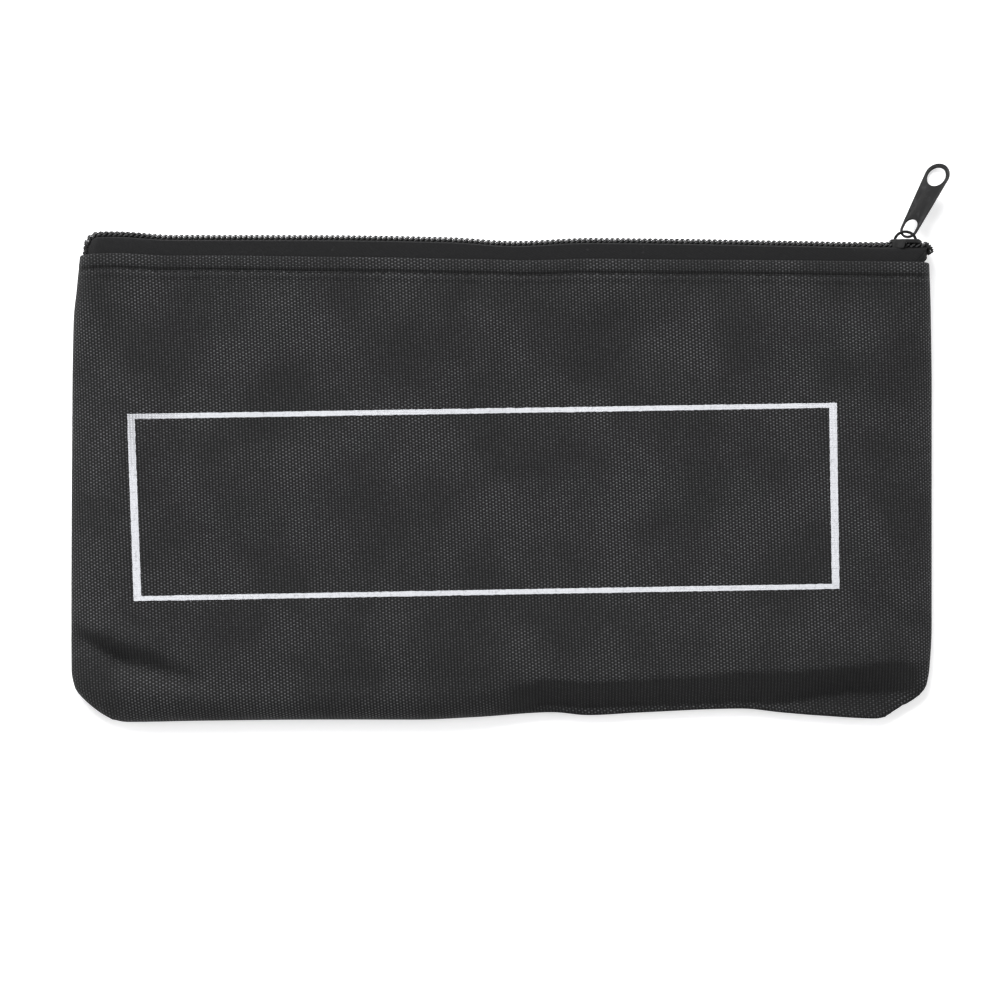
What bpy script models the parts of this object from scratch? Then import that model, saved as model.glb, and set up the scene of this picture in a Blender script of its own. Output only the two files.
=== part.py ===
# A zipped fabric tool pouch, lying on its back panel and closed.
# X runs along the zip, Y from the base up to the zip, and Z up from the table through the pouch's thickness.
# All sizes are in metres.
import math

import bpy
import bmesh
import numpy as np
from mathutils import Matrix, Vector

# The pouch's outline
half_width = 0.1197
ridge_height = 0.0665
base_depth = 0.0660
ridge_wave = 0.00105
ridge_fall_share = 0.95
base_wave = 0.0017
# (place across the half width, height as a share of the wave)
ridge_wave_shares = ((-1, 1.5), (-0.9, 1.9), (-0.76, 1.05), (-0.4, 0.95), (-0.12, 0.4), (0.03, -0.6),
                     (0.2, 0.2), (0.4, 0), (0.65, -0.5), (0.9, -0.95), (1, -0.95))
base_wave_shares = ((-1, -1), (-0.75, -1), (-0.38, -0.62), (-0.2, -0.5), (-0.06, -0.05), (0.12, 0.6),
                    (0.2, 0.12), (0.32, 0.55), (0.56, 0.95), (0.69, 0.3), (0.88, -0.4), (1, -0.4))
# (height up the panel, inset as a share of the half width)
left_inset_shares = ((0, 0.098), (0.019, 0.067), (0.044, 0.03), (0.07, 0.009), (0.108, 0.0005), (0.18, 0),
                     (0.68, 0.0018), (0.89, 0.0065), (0.934, 0.0135), (1, 0.0195))
right_inset_shares = ((0, 0.108), (0.012, 0.09), (0.038, 0.05), (0.052, 0.026), (0.07, 0.0125), (0.11, 0.005),
                      (0.2, 0), (0.7, 0), (0.9, 0.004), (1, 0.009))

# The woven fabric and its folds
fabric_thickness = 0.0004
fold_gap = 0.0003
turned_hem = 0.0060
seam_gap = 0.0003
seam_allowance = 0.0050

# The pouch's section
body_rise = 0.0104
base_seam_rise = 0.0032
top_edge_radius = 0.0050
side_edge_radius = 0.0220
base_edge_radius = 0.0120
edge_change_span = 0.0450
free_edge_share = 1.1
core_share = 4
# Rows up the open panel, as shares of its height
row_shares = (0.17, 0.26, 0.37, 0.5, 0.63, 0.75, 0.86)

# The coil zip
coil_pitch = 0.0015
coil_height = 0.0017
coil_reach = 0.0030
head_overlap = 0.0007
wire_radius = 0.00027
cord_radius = 0.00018
tape_thickness = 0.00035
tape_gap = 0.0003
tape_half_width = 0.0039
tape_inner_edge = 0.0003
tape_tail = 0.0070
tape_end_share = 0.65
shoulder_turn_share = 1.5
# (short of the tape's shoulder, drop) as shares of its turn
shoulder_shares = ((2, 0), (0.75, 0.1), (0.2, 0.55))
loop_slant_share = 0.12
zip_rise = 0.0048
left_zip_inset = 0.0041
right_zip_inset = 0.0008
left_curl = 0.0034
right_curl = 0.0028
left_curl_drop = 0.0036
right_curl_drop = 0.0034
curl_end_share = 0.985

# The slider
slider_inset = 0.0071
slider_length = 0.0086
slider_wall = 0.0005
slider_play = 0.0002
top_plate_thickness = 0.0007
bottom_plate_thickness = 0.0008
bottom_plate_half_width = 0.0034
coil_parting = 0.0014
# Where the coils begin to part and are fully parted, as shares of the slider's length from its middle
parting_start_share = -0.3
parting_full_share = 0.04
# What is left of the parting at the zip's end
end_parting_share = 0.25
# Where the slider begins to widen and is fully wide, as shares of its length from its middle
widening_start_share = -0.4
widening_full_share = -0.02
corner_span_share = 0.35
top_corner_share = 0.3
bottom_corner_share = 0.25
wedge_half_width = 0.0006
wedge_length = 0.0034
wedge_reach_share = 0.62
bridge_length = 0.0068
bridge_height = 0.0027
bridge_radius = 0.0004
bridge_root_share = 0.7
# Where the side flanges end and only a lip is left under the top plate, as a share of the length
flange_end_share = -0.11
flange_lip = 0.0003
cut_overrun = 0.001

# The pull tab, a loose link on the slider's bridge
tab_length = 0.0238
tab_thickness = 0.00074
tab_lower_radius = 0.0027
tab_upper_radius = 0.00385
tab_bar_width = 0.0007
lower_eye_length = 0.0051
lower_eye_half_width = 0.00195
upper_eye_length = 0.0060
upper_eye_half_width = 0.00285
upper_rim = 0.0010
tab_edge_bevel = 0.00012
tab_seat_height = 0.00093
tab_lean = math.radians(28)
tab_dip = math.radians(8.6)
tab_twist = math.radians(36)

# Settings of the meshes
weld_distance = 0.000001
sharp_angle = math.radians(40)
bevel_angle = math.radians(60)
straight_sine = 0.01

# Sizes that follow from those
hem_thickness = 2 * fabric_thickness + fold_gap
wall_depth = hem_thickness + tape_gap + tape_thickness / 2
zip_centre = tape_half_width + tape_thickness + tape_gap + hem_thickness
hem_height = ridge_height - zip_rise
panel_height = hem_height + base_depth
slope = ridge_wave * ridge_fall_share / half_width
slider_place = half_width - slider_inset
left_zip_end = left_zip_inset - half_width
right_zip_end = half_width - right_zip_inset

FRONT = 1
BACK = -1


def row_slope(shares, row):
    """Slope of the curve through a table at this row: level where the values turn back."""
    rises = [(high - low) / (after - before) for (before, low), (after, high)
             in zip(shares[max(0, row - 1):row + 1], shares[max(1, row):row + 2])]
    if rises[0] * rises[-1] <= 0:
        return 0
    return 2 * rises[0] * rises[-1] / (rises[0] + rises[-1])


def along(shares, place):
    """The value at a place in a table of (place, value) shares, on a smooth curve through its rows."""
    for row, ((before, low), (after, high)) in enumerate(zip(shares, shares[1:])):
        if place <= after:
            span = after - before
            step = min(1, max(0, (place - before) / span))
            ends = row_slope(shares, row) * (1 - step) - row_slope(shares, row + 1) * step
            return low + (high - low) * eased(step, 0, 1) + span * step * (1 - step) * ends
    return shares[-1][1]


def eased(value, start, end):
    step = min(1, max(0, (value - start) / (end - start)))
    return step * step * (3 - 2 * step)


def arc_rise(depth, radius):
    """Height share of a rounded edge at this distance in from it."""
    left = 1 - min(1, max(0, depth / radius))
    return math.sqrt(1 - left * left)


def ridge_at(x):
    return ridge_height + ridge_wave * along(ridge_wave_shares, x / half_width)


def hem_at(x):
    return ridge_at(x) - zip_rise


def base_at(x):
    return base_wave * along(base_wave_shares, x / half_width) - base_depth


# The panels: every point is given by a column from -1 to 1, a height share and a depth inside the outer face.

edge_angles = [math.radians(angle) for angle in (0, 18, 36, 54, 72, 90)]
edge_columns = 0.8
panel_columns = 11
tape_columns = 20


def columns_across(inner_columns, first_angle=0):
    """Column values from left to right: the rounded edge in even turns, then even steps."""
    turned = [math.radians(90) - angle for angle in edge_angles if angle >= first_angle]
    outer = [edge_columns + (1 - edge_columns) * angle / math.radians(90) for angle in turned]
    outer.sort(reverse=True)
    steps = [-edge_columns + 2 * edge_columns * i / inner_columns for i in range(1, inner_columns)]
    return [-value for value in outer] + steps + outer[::-1]


def panel_point(side, column, share, depth=0):
    """A point of the front or back panel, or of a layer that lies this deep inside it."""
    down = (1 - share) * panel_height
    lowered = eased(down, 0, edge_change_span)
    radius = top_edge_radius + (side_edge_radius - top_edge_radius) * lowered - depth
    left = depth - half_width * (1 - along(left_inset_shares, share))
    right = half_width * (1 - along(right_inset_shares, share)) - depth
    turn = math.radians(90) * min(1, (1 - abs(column)) / (1 - edge_columns))
    inset = radius * (1 - math.cos(turn))
    if column < -edge_columns:
        x = left + inset
    elif column > edge_columns:
        x = right - inset
    else:
        place = (column / edge_columns + 1) / 2
        x = (left + radius) + (right - left - 2 * radius) * place
    y = base_at(x) + (hem_at(x) - base_at(x)) * share
    seam = zip_centre + (base_seam_rise - zip_centre) * lowered
    if side == FRONT:
        full = 2 * zip_centre + (body_rise - 2 * zip_centre) * lowered - seam
    else:
        full = seam
    rise = (full - seam_gap / 2 - depth) * math.sin(turn)
    rise *= arc_rise(share * panel_height - depth, base_edge_radius - depth)
    return Vector((x, y, seam + side * (seam_gap / 2 + rise)))


def panel_rows():
    """(height share, depth) from the base seam up the outside, over the fold and down its inside."""
    base_turns = [base_edge_radius * (1 - math.cos(angle)) for angle in edge_angles]
    heights = base_turns + [panel_height * share for share in row_shares]
    rows = [(height / panel_height, 0) for height in heights]
    rows.append((1 - turned_hem / panel_height, 0))
    fold = hem_thickness / 2
    for step in range(5):
        angle = math.pi * step / 4
        lift = fold * (math.sin(angle) - 1)
        rows.append((1 + lift / panel_height, fold * (1 - math.cos(angle))))
    rows.append((1 - turned_hem / panel_height, hem_thickness))
    return rows


def sheet_mesh(name, points):
    """A mesh of one open sheet through a grid of points, given row by row."""
    grid = bmesh.new()
    made = [[grid.verts.new(point) for point in row] for row in points]
    for lower, upper in zip(made, made[1:]):
        for i in range(len(lower) - 1):
            grid.faces.new((lower[i], lower[i + 1], upper[i + 1], upper[i]))
    mesh = bpy.data.meshes.new(name)
    grid.to_mesh(mesh)
    grid.free()
    return mesh


def add_allowance(mesh, columns, lowest_free_row):
    """Turns the fabric in along the side and base seams, flat against the other panel's."""
    core_inset = core_share * seam_allowance
    cloth = bmesh.new()
    cloth.from_mesh(mesh)
    cloth.verts.ensure_lookup_table()
    left = [row * columns for row in range(lowest_free_row, 0, -1)]
    base = list(range(columns))
    right = [row * columns + columns - 1 for row in range(1, lowest_free_row + 1)]
    edge = [cloth.verts[i] for i in left + base + right]
    turned = []
    for vert in edge:
        core_x = min(half_width - core_inset, max(core_inset - half_width, vert.co.x))
        core_y = max(core_inset - base_depth, vert.co.y)
        inward = Vector((core_x - vert.co.x, core_y - vert.co.y, 0)).normalized()
        turned.append(cloth.verts.new(vert.co + inward * seam_allowance))
    for i in range(len(edge) - 1):
        cloth.faces.new((edge[i + 1], edge[i], turned[i], turned[i + 1]))
    bmesh.ops.recalc_face_normals(cloth, faces=cloth.faces)
    cloth.to_mesh(mesh)
    cloth.free()


def add_object(name, mesh, material, collection):
    obj = bpy.data.objects.new(name, mesh)
    collection.objects.link(obj)
    mesh.materials.append(material)
    mesh.shade_smooth()
    mesh.set_sharp_from_angle(angle=sharp_angle)
    return obj


def thicken(obj, thickness, inward):
    """Gives an open sheet its thickness: behind its faces when inward, and otherwise half on each side."""
    solid = obj.modifiers.new("thickness", "SOLIDIFY")
    solid.thickness = thickness
    solid.offset = -1 if inward else 0
    solid.use_even_offset = not inward  # an even offset spikes at a panel's sharp folds


def make_panel(name, side, material, collection):
    rows = panel_rows()
    columns = columns_across(panel_columns)
    points = [[panel_point(side, column, share, depth) for column in columns] for share, depth in rows]
    mesh = sheet_mesh(name, points)
    below_hem = 1 - free_edge_share * turned_hem / panel_height
    free_rows = [i for i, (share, depth) in enumerate(rows) if share < below_hem]
    add_allowance(mesh, len(columns), free_rows[-1])
    face_outward(mesh, side)
    obj = add_object(name, mesh, material, collection)
    thicken(obj, fabric_thickness, True)
    return obj


def face_outward(mesh, side):
    """Points a panel's broad middle face away from the pouch, and all its other faces with it."""
    middle = max(mesh.polygons, key=lambda face: face.area)
    if middle.normal.z * side < 0:
        mesh.flip_normals()


# The zip's line: a curve along the ridge that curls down into the side seam at both ends.

line_x = np.linspace(left_zip_end, right_zip_end, 6000)


def curl_at(x):
    """How far the zip has dropped towards the side seam at x."""
    left = (left_zip_end + left_curl - x) / left_curl
    right = (x - right_zip_end + right_curl) / right_curl
    turned = min(curl_end_share, max(0, left, right))
    drop = left_curl_drop if left > right else right_curl_drop
    return drop * (1 - math.sqrt(1 - turned * turned))


line_y = np.array([ridge_at(x) - coil_height / 2 - curl_at(x) for x in line_x])
line_run = np.concatenate(([0], np.cumsum(np.hypot(np.diff(line_x), np.diff(line_y)))))


def zip_frame(run):
    """Place on the zip's centre line at this distance along it, and the direction square to it."""
    x = float(np.interp(run, line_run, line_x))
    y = float(np.interp(run, line_run, line_y))
    reach = coil_pitch / 4
    ahead = np.interp([run - reach, run + reach], line_run, line_x)
    above = np.interp([run - reach, run + reach], line_run, line_y)
    tangent = Vector((ahead[1] - ahead[0], above[1] - above[0], 0)).normalized()
    return Vector((x, y, zip_centre)), Vector((-tangent.y, tangent.x, 0))


def run_at(x):
    return float(np.interp(x, line_x, line_run))


def parting_at(x):
    """How far each half of the chain stands off its closed place, round the slider's wedge."""
    start = slider_place + slider_length * parting_start_share
    opened = eased(x, start, slider_place + slider_length * parting_full_share)
    closed = eased(x, slider_place + slider_length / 2, right_zip_end)
    return coil_parting * (opened - (1 - end_parting_share) * closed)


def zip_point(side, run, across, up):
    centre, normal = zip_frame(run)
    out = across + parting_at(centre.x)
    return centre + normal * up + Vector((0, 0, side * out))


def coil_route(side):
    """Four points to each loop: out along the top leg, down the head, back along the bottom leg and down."""
    first = run_at(left_zip_end) + coil_pitch * (0.5 if side == FRONT else 1)
    count = int((line_run[-1] - first - coil_pitch / 4) / coil_pitch)
    lift = coil_height / 2 - wire_radius
    heel = coil_reach - wire_radius
    head = wire_radius - head_overlap
    slant = coil_pitch * loop_slant_share
    route = []
    for loop in range(count):
        run = first + loop * coil_pitch
        route.append(zip_point(side, run - slant, heel, lift))
        route.append(zip_point(side, run, head, lift))
        route.append(zip_point(side, run, head, -lift))
        route.append(zip_point(side, run + slant, heel, -lift))
    return route


def cord_route(side):
    """The filler cord inside the loops, with closer points where the zip bends."""
    across = (coil_reach - head_overlap) / 2
    bends = [(left_zip_end, left_zip_end + left_curl, 5), (left_zip_end + left_curl, 0, 14),
             (0, slider_place - slider_length / 2, 14), (slider_place - slider_length / 2, right_zip_end, 13)]
    route = []
    for start, end, steps in bends:
        for step in range(steps):
            route.append(zip_point(side, run_at(start + (end - start) * step / steps), across, 0))
    route.append(zip_point(side, line_run[-1], across, 0))
    return route


def poly_curve(name, points, closed, helpers):
    curve = bpy.data.curves.new(name, "CURVE")
    curve.dimensions = "3D"
    spline = curve.splines.new("POLY")
    spline.points.add(len(points) - 1)
    for made, point in zip(spline.points, points):
        made.co = (*point, 1)
    spline.use_cyclic_u = closed
    obj = bpy.data.objects.new(name, curve)
    helpers.objects.link(obj)
    return obj


def welded_mesh(obj):
    """A closed mesh of a curve object, whose caps are joined to its sides. The curve is removed."""
    bpy.context.view_layer.update()
    graph = bpy.context.evaluated_depsgraph_get()
    mesh = bpy.data.meshes.new_from_object(obj.evaluated_get(graph))
    mesh.transform(obj.matrix_world)
    mesh.materials.clear()
    shape = bmesh.new()
    shape.from_mesh(mesh)
    bmesh.ops.remove_doubles(shape, verts=shape.verts, dist=weld_distance)
    bmesh.ops.recalc_face_normals(shape, faces=shape.faces)
    shape.to_mesh(mesh)
    shape.free()
    mesh.name = obj.name
    bpy.data.objects.remove(obj)
    return mesh


def tube_mesh(name, points, radius, sides, helpers):
    """An unbroken tube along the points, with this many sides."""
    ring = [(radius * math.cos(2 * math.pi * i / sides), radius * math.sin(2 * math.pi * i / sides), 0)
            for i in range(sides)]
    section = poly_curve(name + "_section", ring, True, helpers)
    tube = poly_curve(name, points, False, helpers)
    tube.data.bevel_mode = "OBJECT"
    tube.data.bevel_object = section
    tube.data.use_fill_caps = True
    mesh = welded_mesh(tube)
    bpy.data.objects.remove(section)
    return mesh


def make_tape(name, side, material, collection):
    """The woven tape under one coil, turned down at its shoulder and sewn in behind the hem."""
    columns = columns_across(tape_columns, edge_angles[2])
    flat_left = left_zip_end + left_curl
    flat_right = right_zip_end - right_curl
    under = -coil_height / 2 - tape_gap - tape_thickness / 2
    shoulder = tape_half_width + tape_thickness / 2
    turn = tape_thickness * shoulder_turn_share
    points = []
    for column in columns:
        hem = panel_point(side, column, 1, wall_depth)
        end_turn = (abs(column) - edge_columns) / (max(columns) - edge_columns)
        x = hem.x
        if column < -edge_columns:
            x = flat_left + (left_zip_end - flat_left) * end_turn
        if column > edge_columns:
            x = flat_right + (right_zip_end - flat_right) * end_turn
        x = min(right_zip_end, max(left_zip_end, x))
        if abs(column) <= edge_columns:
            start = panel_point(side, -edge_columns, 1, wall_depth).x
            end = panel_point(side, edge_columns, 1, wall_depth).x
            x = flat_left + (flat_right - flat_left) * (hem.x - start) / (end - start)
        run = run_at(x)
        centre, normal = zip_frame(run)
        inner = tape_inner_edge + tape_thickness / 2 + parting_at(x)
        reach = shoulder * (1 - (1 - tape_end_share) * max(0, end_turn))
        roof = [(inner, under)]
        roof += [(reach - turn * short, under - turn * drop) for short, drop in shoulder_shares]
        line = [centre + normal * up + Vector((0, 0, side * across)) for across, up in roof]
        wall_top = (hem_at(hem.x) + line[-1].y) / 2
        wall_z = (hem.z + zip_centre + side * reach) / 2
        line.append(Vector(((hem.x + x) / 2, wall_top, wall_z)))
        line.append(hem)
        for share in (0.5, 1):
            line.append(panel_point(side, column, 1 - share * tape_tail / panel_height, wall_depth))
        points.append(line)
    mesh = sheet_mesh(name, points)
    face_outward(mesh, side)
    obj = add_object(name, mesh, material, collection)
    thicken(obj, tape_thickness, False)
    return obj


# The slider, modelled about its own centre: X along the zip, Y square to the tapes, Z across them.

rear_channel = coil_reach + slider_play
front_channel = rear_channel + coil_parting
plate_underside = coil_height / 2 + slider_play
plate_top = plate_underside + top_plate_thickness
bottom_plate_top = -coil_height / 2 - 2 * tape_gap - tape_thickness
flange_foot = -coil_height / 2


def slider_outline(rear, front, length, corner_share, steps=11):
    """Plan of the slider: narrow at the closed end, widening in an easy curve to its shoulders."""
    side = []
    for i in range(steps):
        place = i / (steps - 1)
        x = (place - 0.5) * length
        widened = eased(x / slider_length, widening_start_share, widening_full_share)
        width = rear + (front - rear) * widened
        end = min(place, 1 - place) * 2
        width *= 1 - corner_share * (1 - arc_rise(end, corner_span_share))
        side.append((x, width))
    return [(x, -width) for x, width in side] + [(x, width) for x, width in side[::-1]]


def corners_only(outline):
    """The outline without the points that lie on a straight run between their neighbours."""
    kept = []
    for before, here, after in zip(outline[-1:] + outline[:-1], outline, outline[1:] + outline[:1]):
        first = Vector(here) - Vector(before)
        second = Vector(after) - Vector(here)
        if abs(first.normalized().cross(second.normalized())) > straight_sine:
            kept.append(here)
    return kept


def flat_plate(name, outline, low, high, helpers):
    """A plate of this plan from one height to another, lying in the slider's own frame."""
    plate = poly_curve(name, [(x, z, 0) for x, z in corners_only(outline)], True, helpers)
    plate.data.dimensions = "2D"
    plate.data.fill_mode = "BOTH"
    plate.data.extrude = (high - low) / 2
    stood_up = Matrix.Rotation(math.radians(90), 4, "X")
    plate.matrix_world = Matrix.Translation((0, (low + high) / 2, 0)) @ stood_up
    bpy.context.view_layer.update()
    return welded_mesh(plate)


def box_mesh(name, low, high):
    middle = (Vector(low) + Vector(high)) / 2
    size = Vector(high) - Vector(low)
    shape = bmesh.new()
    bmesh.ops.create_cube(shape, size=1, matrix=Matrix.Translation(middle) @ Matrix.Diagonal((*size, 1)))
    mesh = bpy.data.meshes.new(name)
    shape.to_mesh(mesh)
    shape.free()
    return mesh


def helper_object(name, mesh, helpers, parent):
    obj = bpy.data.objects.new(name, mesh)
    helpers.objects.link(obj)
    obj.parent = parent
    obj.hide_render = True
    obj.display_type = "WIRE"
    return obj


def add_boolean(obj, other, operation):
    cut = obj.modifiers.new(other.name, "BOOLEAN")
    cut.object = other
    cut.operation = operation
    cut.solver = "EXACT"


def make_slider(material, collection, helpers):
    """One casting: two plates joined by the wedge that parts the coils, side flanges and a bridge on top."""
    outer = slider_outline(rear_channel + slider_wall, front_channel + slider_wall, slider_length,
                           top_corner_share)
    mesh = flat_plate("slider_body", outer, flange_foot, plate_top, helpers)
    body = add_object("slider_body", mesh, material, collection)
    body.location = zip_frame(run_at(slider_place))[0]
    body.rotation_euler = (0, 0, -slope)
    bpy.context.view_layer.update()

    channel = slider_outline(rear_channel, front_channel, slider_length + 2 * cut_overrun, 0)
    channel_mesh = flat_plate("slider_channel", channel, flange_foot - cut_overrun, plate_underside, helpers)
    add_boolean(body, helper_object("slider_channel", channel_mesh, helpers, body), "DIFFERENCE")

    reach = front_channel + slider_wall + cut_overrun
    relief_low = (slider_length * flange_end_share, flange_foot - cut_overrun, -reach)
    relief_high = (slider_length / 2 + cut_overrun, plate_underside - flange_lip, reach)
    relief_mesh = box_mesh("slider_relief", relief_low, relief_high)
    add_boolean(body, helper_object("slider_relief", relief_mesh, helpers, body), "DIFFERENCE")

    lower = slider_outline(rear_channel - 2 * slider_play, bottom_plate_half_width, slider_length,
                           bottom_corner_share)
    lower_mesh = flat_plate("slider_bottom_plate", lower, bottom_plate_top - bottom_plate_thickness,
                            bottom_plate_top, helpers)
    wedge_centre = slider_length / 2 - wedge_length * wedge_reach_share
    wedge = [(wedge_centre + wedge_length / 2 * math.cos(angle), wedge_half_width * math.sin(angle))
             for angle in (2 * math.pi * i / 12 for i in range(12))]
    wedge_mesh = flat_plate("slider_wedge", wedge, bottom_plate_top - bottom_plate_thickness / 2,
                            plate_underside + top_plate_thickness / 2, helpers)
    foot = plate_top - top_plate_thickness * bridge_root_share
    crown = plate_top + bridge_height - bridge_radius - foot
    span = bridge_length / 2 - bridge_radius
    turns = [math.pi * i / 11 for i in range(12)]
    arch = [(span * math.cos(turn), foot + crown * math.sin(turn), 0) for turn in turns]
    bridge_mesh = tube_mesh("slider_bridge", arch, bridge_radius, 8, helpers)
    for name, piece in (("slider_wedge", wedge_mesh), ("slider_bottom_plate", lower_mesh),
                        ("slider_bridge", bridge_mesh)):
        add_boolean(body, helper_object(name, piece, helpers, body), "UNION")
    return body


def round_points(centre, half_width_here, half_height, start, end, steps):
    return [(half_width_here * math.cos(start + (end - start) * i / steps),
             centre + half_height * math.sin(start + (end - start) * i / steps)) for i in range(steps + 1)]


def make_tab(slider, material, collection, helpers):
    """A flat link, wider at its far end, with an eye at each end. Its origin is the middle of its end bar."""
    low_centre = tab_lower_radius - tab_bar_width / 2
    high_centre = tab_length - tab_bar_width / 2 - tab_upper_radius
    taper = math.asin((tab_upper_radius - tab_lower_radius) / (high_centre - low_centre))
    outline = round_points(high_centre, tab_upper_radius, tab_upper_radius, -taper, math.pi + taper, 14)
    outline += round_points(low_centre, tab_lower_radius, tab_lower_radius, math.pi + taper,
                            2 * math.pi - taper, 12)
    eye_low = tab_bar_width / 2 + lower_eye_half_width
    eye_high = tab_bar_width / 2 + lower_eye_length - lower_eye_half_width
    lower_eye = round_points(eye_high, lower_eye_half_width, lower_eye_half_width, 0, math.pi, 8)
    lower_eye += round_points(eye_low, lower_eye_half_width, lower_eye_half_width, math.pi, 2 * math.pi, 8)
    eye_centre = tab_length - tab_bar_width / 2 - upper_rim - upper_eye_length / 2
    upper_eye = round_points(eye_centre, upper_eye_half_width, upper_eye_length / 2, 0, 2 * math.pi, 18)[:-1]

    tab = poly_curve("pull_tab", [(x, y, 0) for x, y in outline], True, helpers)
    for eye in (lower_eye, upper_eye):
        spline = tab.data.splines.new("POLY")
        spline.points.add(len(eye) - 1)
        for made, (x, y) in zip(spline.points, eye):
            made.co = (x, y, 0, 1)
        spline.use_cyclic_u = True
    tab.data.dimensions = "2D"
    tab.data.fill_mode = "BOTH"
    tab.data.extrude = tab_thickness / 2
    obj = add_object("pull_tab", welded_mesh(tab), material, collection)
    edge = obj.modifiers.new("eased_edges", "BEVEL")
    edge.width = tab_edge_bevel
    edge.segments = 1
    edge.limit_method = "ANGLE"
    edge.angle_limit = bevel_angle
    obj.parent = slider
    obj.location = (0, plate_top + tab_seat_height, 0)
    turn = Matrix.Rotation(slope - tab_lean, 4, "Z") @ Matrix.Rotation(-tab_dip, 4, "X")
    turn = turn @ Matrix.Rotation(-tab_twist, 4, "Y")
    obj.rotation_euler = turn.to_euler()
    return obj


def make_material(name, colour, roughness, metallic=0):
    material = bpy.data.materials.new(name)
    material.use_nodes = True
    shader = material.node_tree.nodes["Principled BSDF"]
    shader.inputs["Base Color"].default_value = (*colour, 1)
    shader.inputs["Roughness"].default_value = roughness
    shader.inputs["Metallic"].default_value = metallic
    material.diffuse_color = (*colour, 1)
    return material


def main():
    for obj in list(bpy.data.objects):
        bpy.data.objects.remove(obj)
    parts = bpy.data.collections.new("tool_pouch")
    helpers = bpy.data.collections.new("tool_pouch_cutters")
    bpy.context.scene.collection.children.link(parts)
    bpy.context.scene.collection.children.link(helpers)

    panel_cloth = make_material("charcoal_fabric", (0.035, 0.035, 0.037), 0.75)
    tape_cloth = make_material("black_tape", (0.02, 0.02, 0.021), 0.85)
    nylon = make_material("black_nylon", (0.016, 0.016, 0.017), 0.4)
    thread = make_material("black_cord", (0.02, 0.02, 0.02), 0.9)
    enamel = make_material("black_enamel", (0.03, 0.03, 0.031), 0.35, 0.3)

    mouth_hinge = bpy.data.objects.new("mouth_hinge", None)
    parts.objects.link(mouth_hinge)
    mouth_hinge.location = (0, hem_at(0), 2 * zip_centre - wall_depth)
    bpy.context.view_layer.update()
    for side, word in ((FRONT, "front"), (BACK, "back")):
        make_panel(word + "_panel", side, panel_cloth, parts)
        tape = make_tape("zip_tape_" + word, side, tape_cloth, parts)
        coil_mesh = tube_mesh("zip_coil_" + word, coil_route(side), wire_radius, 3, helpers)
        coil = add_object("zip_coil_" + word, coil_mesh, nylon, parts)
        cord_mesh = tube_mesh("zip_cord_" + word, cord_route(side), cord_radius, 4, helpers)
        cord = add_object("zip_cord_" + word, cord_mesh, thread, parts)
        if side == FRONT:
            for piece in (tape, coil, cord):
                piece.parent = mouth_hinge
                piece.matrix_parent_inverse = mouth_hinge.matrix_world.inverted()
    slider = make_slider(enamel, parts, helpers)
    make_tab(slider, enamel, parts, helpers)


main()
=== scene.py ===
# A zipped fabric tool pouch, lying closed on its back panel.
# X runs along the zip, Y from the base up to the zip, Z up from the table. All sizes are in metres.
import math

import bpy
import bmesh
import numpy as np
from mathutils import Matrix, Vector, noise


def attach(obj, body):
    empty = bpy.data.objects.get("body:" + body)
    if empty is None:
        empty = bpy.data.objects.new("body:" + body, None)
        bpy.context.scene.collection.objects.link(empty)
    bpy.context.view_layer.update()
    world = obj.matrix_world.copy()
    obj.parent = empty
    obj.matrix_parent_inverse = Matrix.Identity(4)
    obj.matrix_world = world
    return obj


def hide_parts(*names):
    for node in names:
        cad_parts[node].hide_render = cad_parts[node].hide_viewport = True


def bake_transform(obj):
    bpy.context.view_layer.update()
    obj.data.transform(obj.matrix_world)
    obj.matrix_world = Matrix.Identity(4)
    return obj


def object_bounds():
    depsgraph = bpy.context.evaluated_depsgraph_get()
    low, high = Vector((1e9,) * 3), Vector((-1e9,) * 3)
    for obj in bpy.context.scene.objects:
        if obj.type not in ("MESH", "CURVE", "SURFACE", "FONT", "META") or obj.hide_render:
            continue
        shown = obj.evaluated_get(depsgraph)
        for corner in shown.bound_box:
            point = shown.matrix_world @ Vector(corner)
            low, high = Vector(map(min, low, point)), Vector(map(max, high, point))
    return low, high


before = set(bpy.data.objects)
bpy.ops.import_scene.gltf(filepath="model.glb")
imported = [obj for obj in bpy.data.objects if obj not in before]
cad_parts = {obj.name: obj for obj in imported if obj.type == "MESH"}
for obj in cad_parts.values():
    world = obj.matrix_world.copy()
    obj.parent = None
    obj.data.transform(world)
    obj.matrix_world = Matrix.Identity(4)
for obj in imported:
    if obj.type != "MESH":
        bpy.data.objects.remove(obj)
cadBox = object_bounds()
print("frame loaded:", len(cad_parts), "nodes")

front = 1
back = -1

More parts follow.
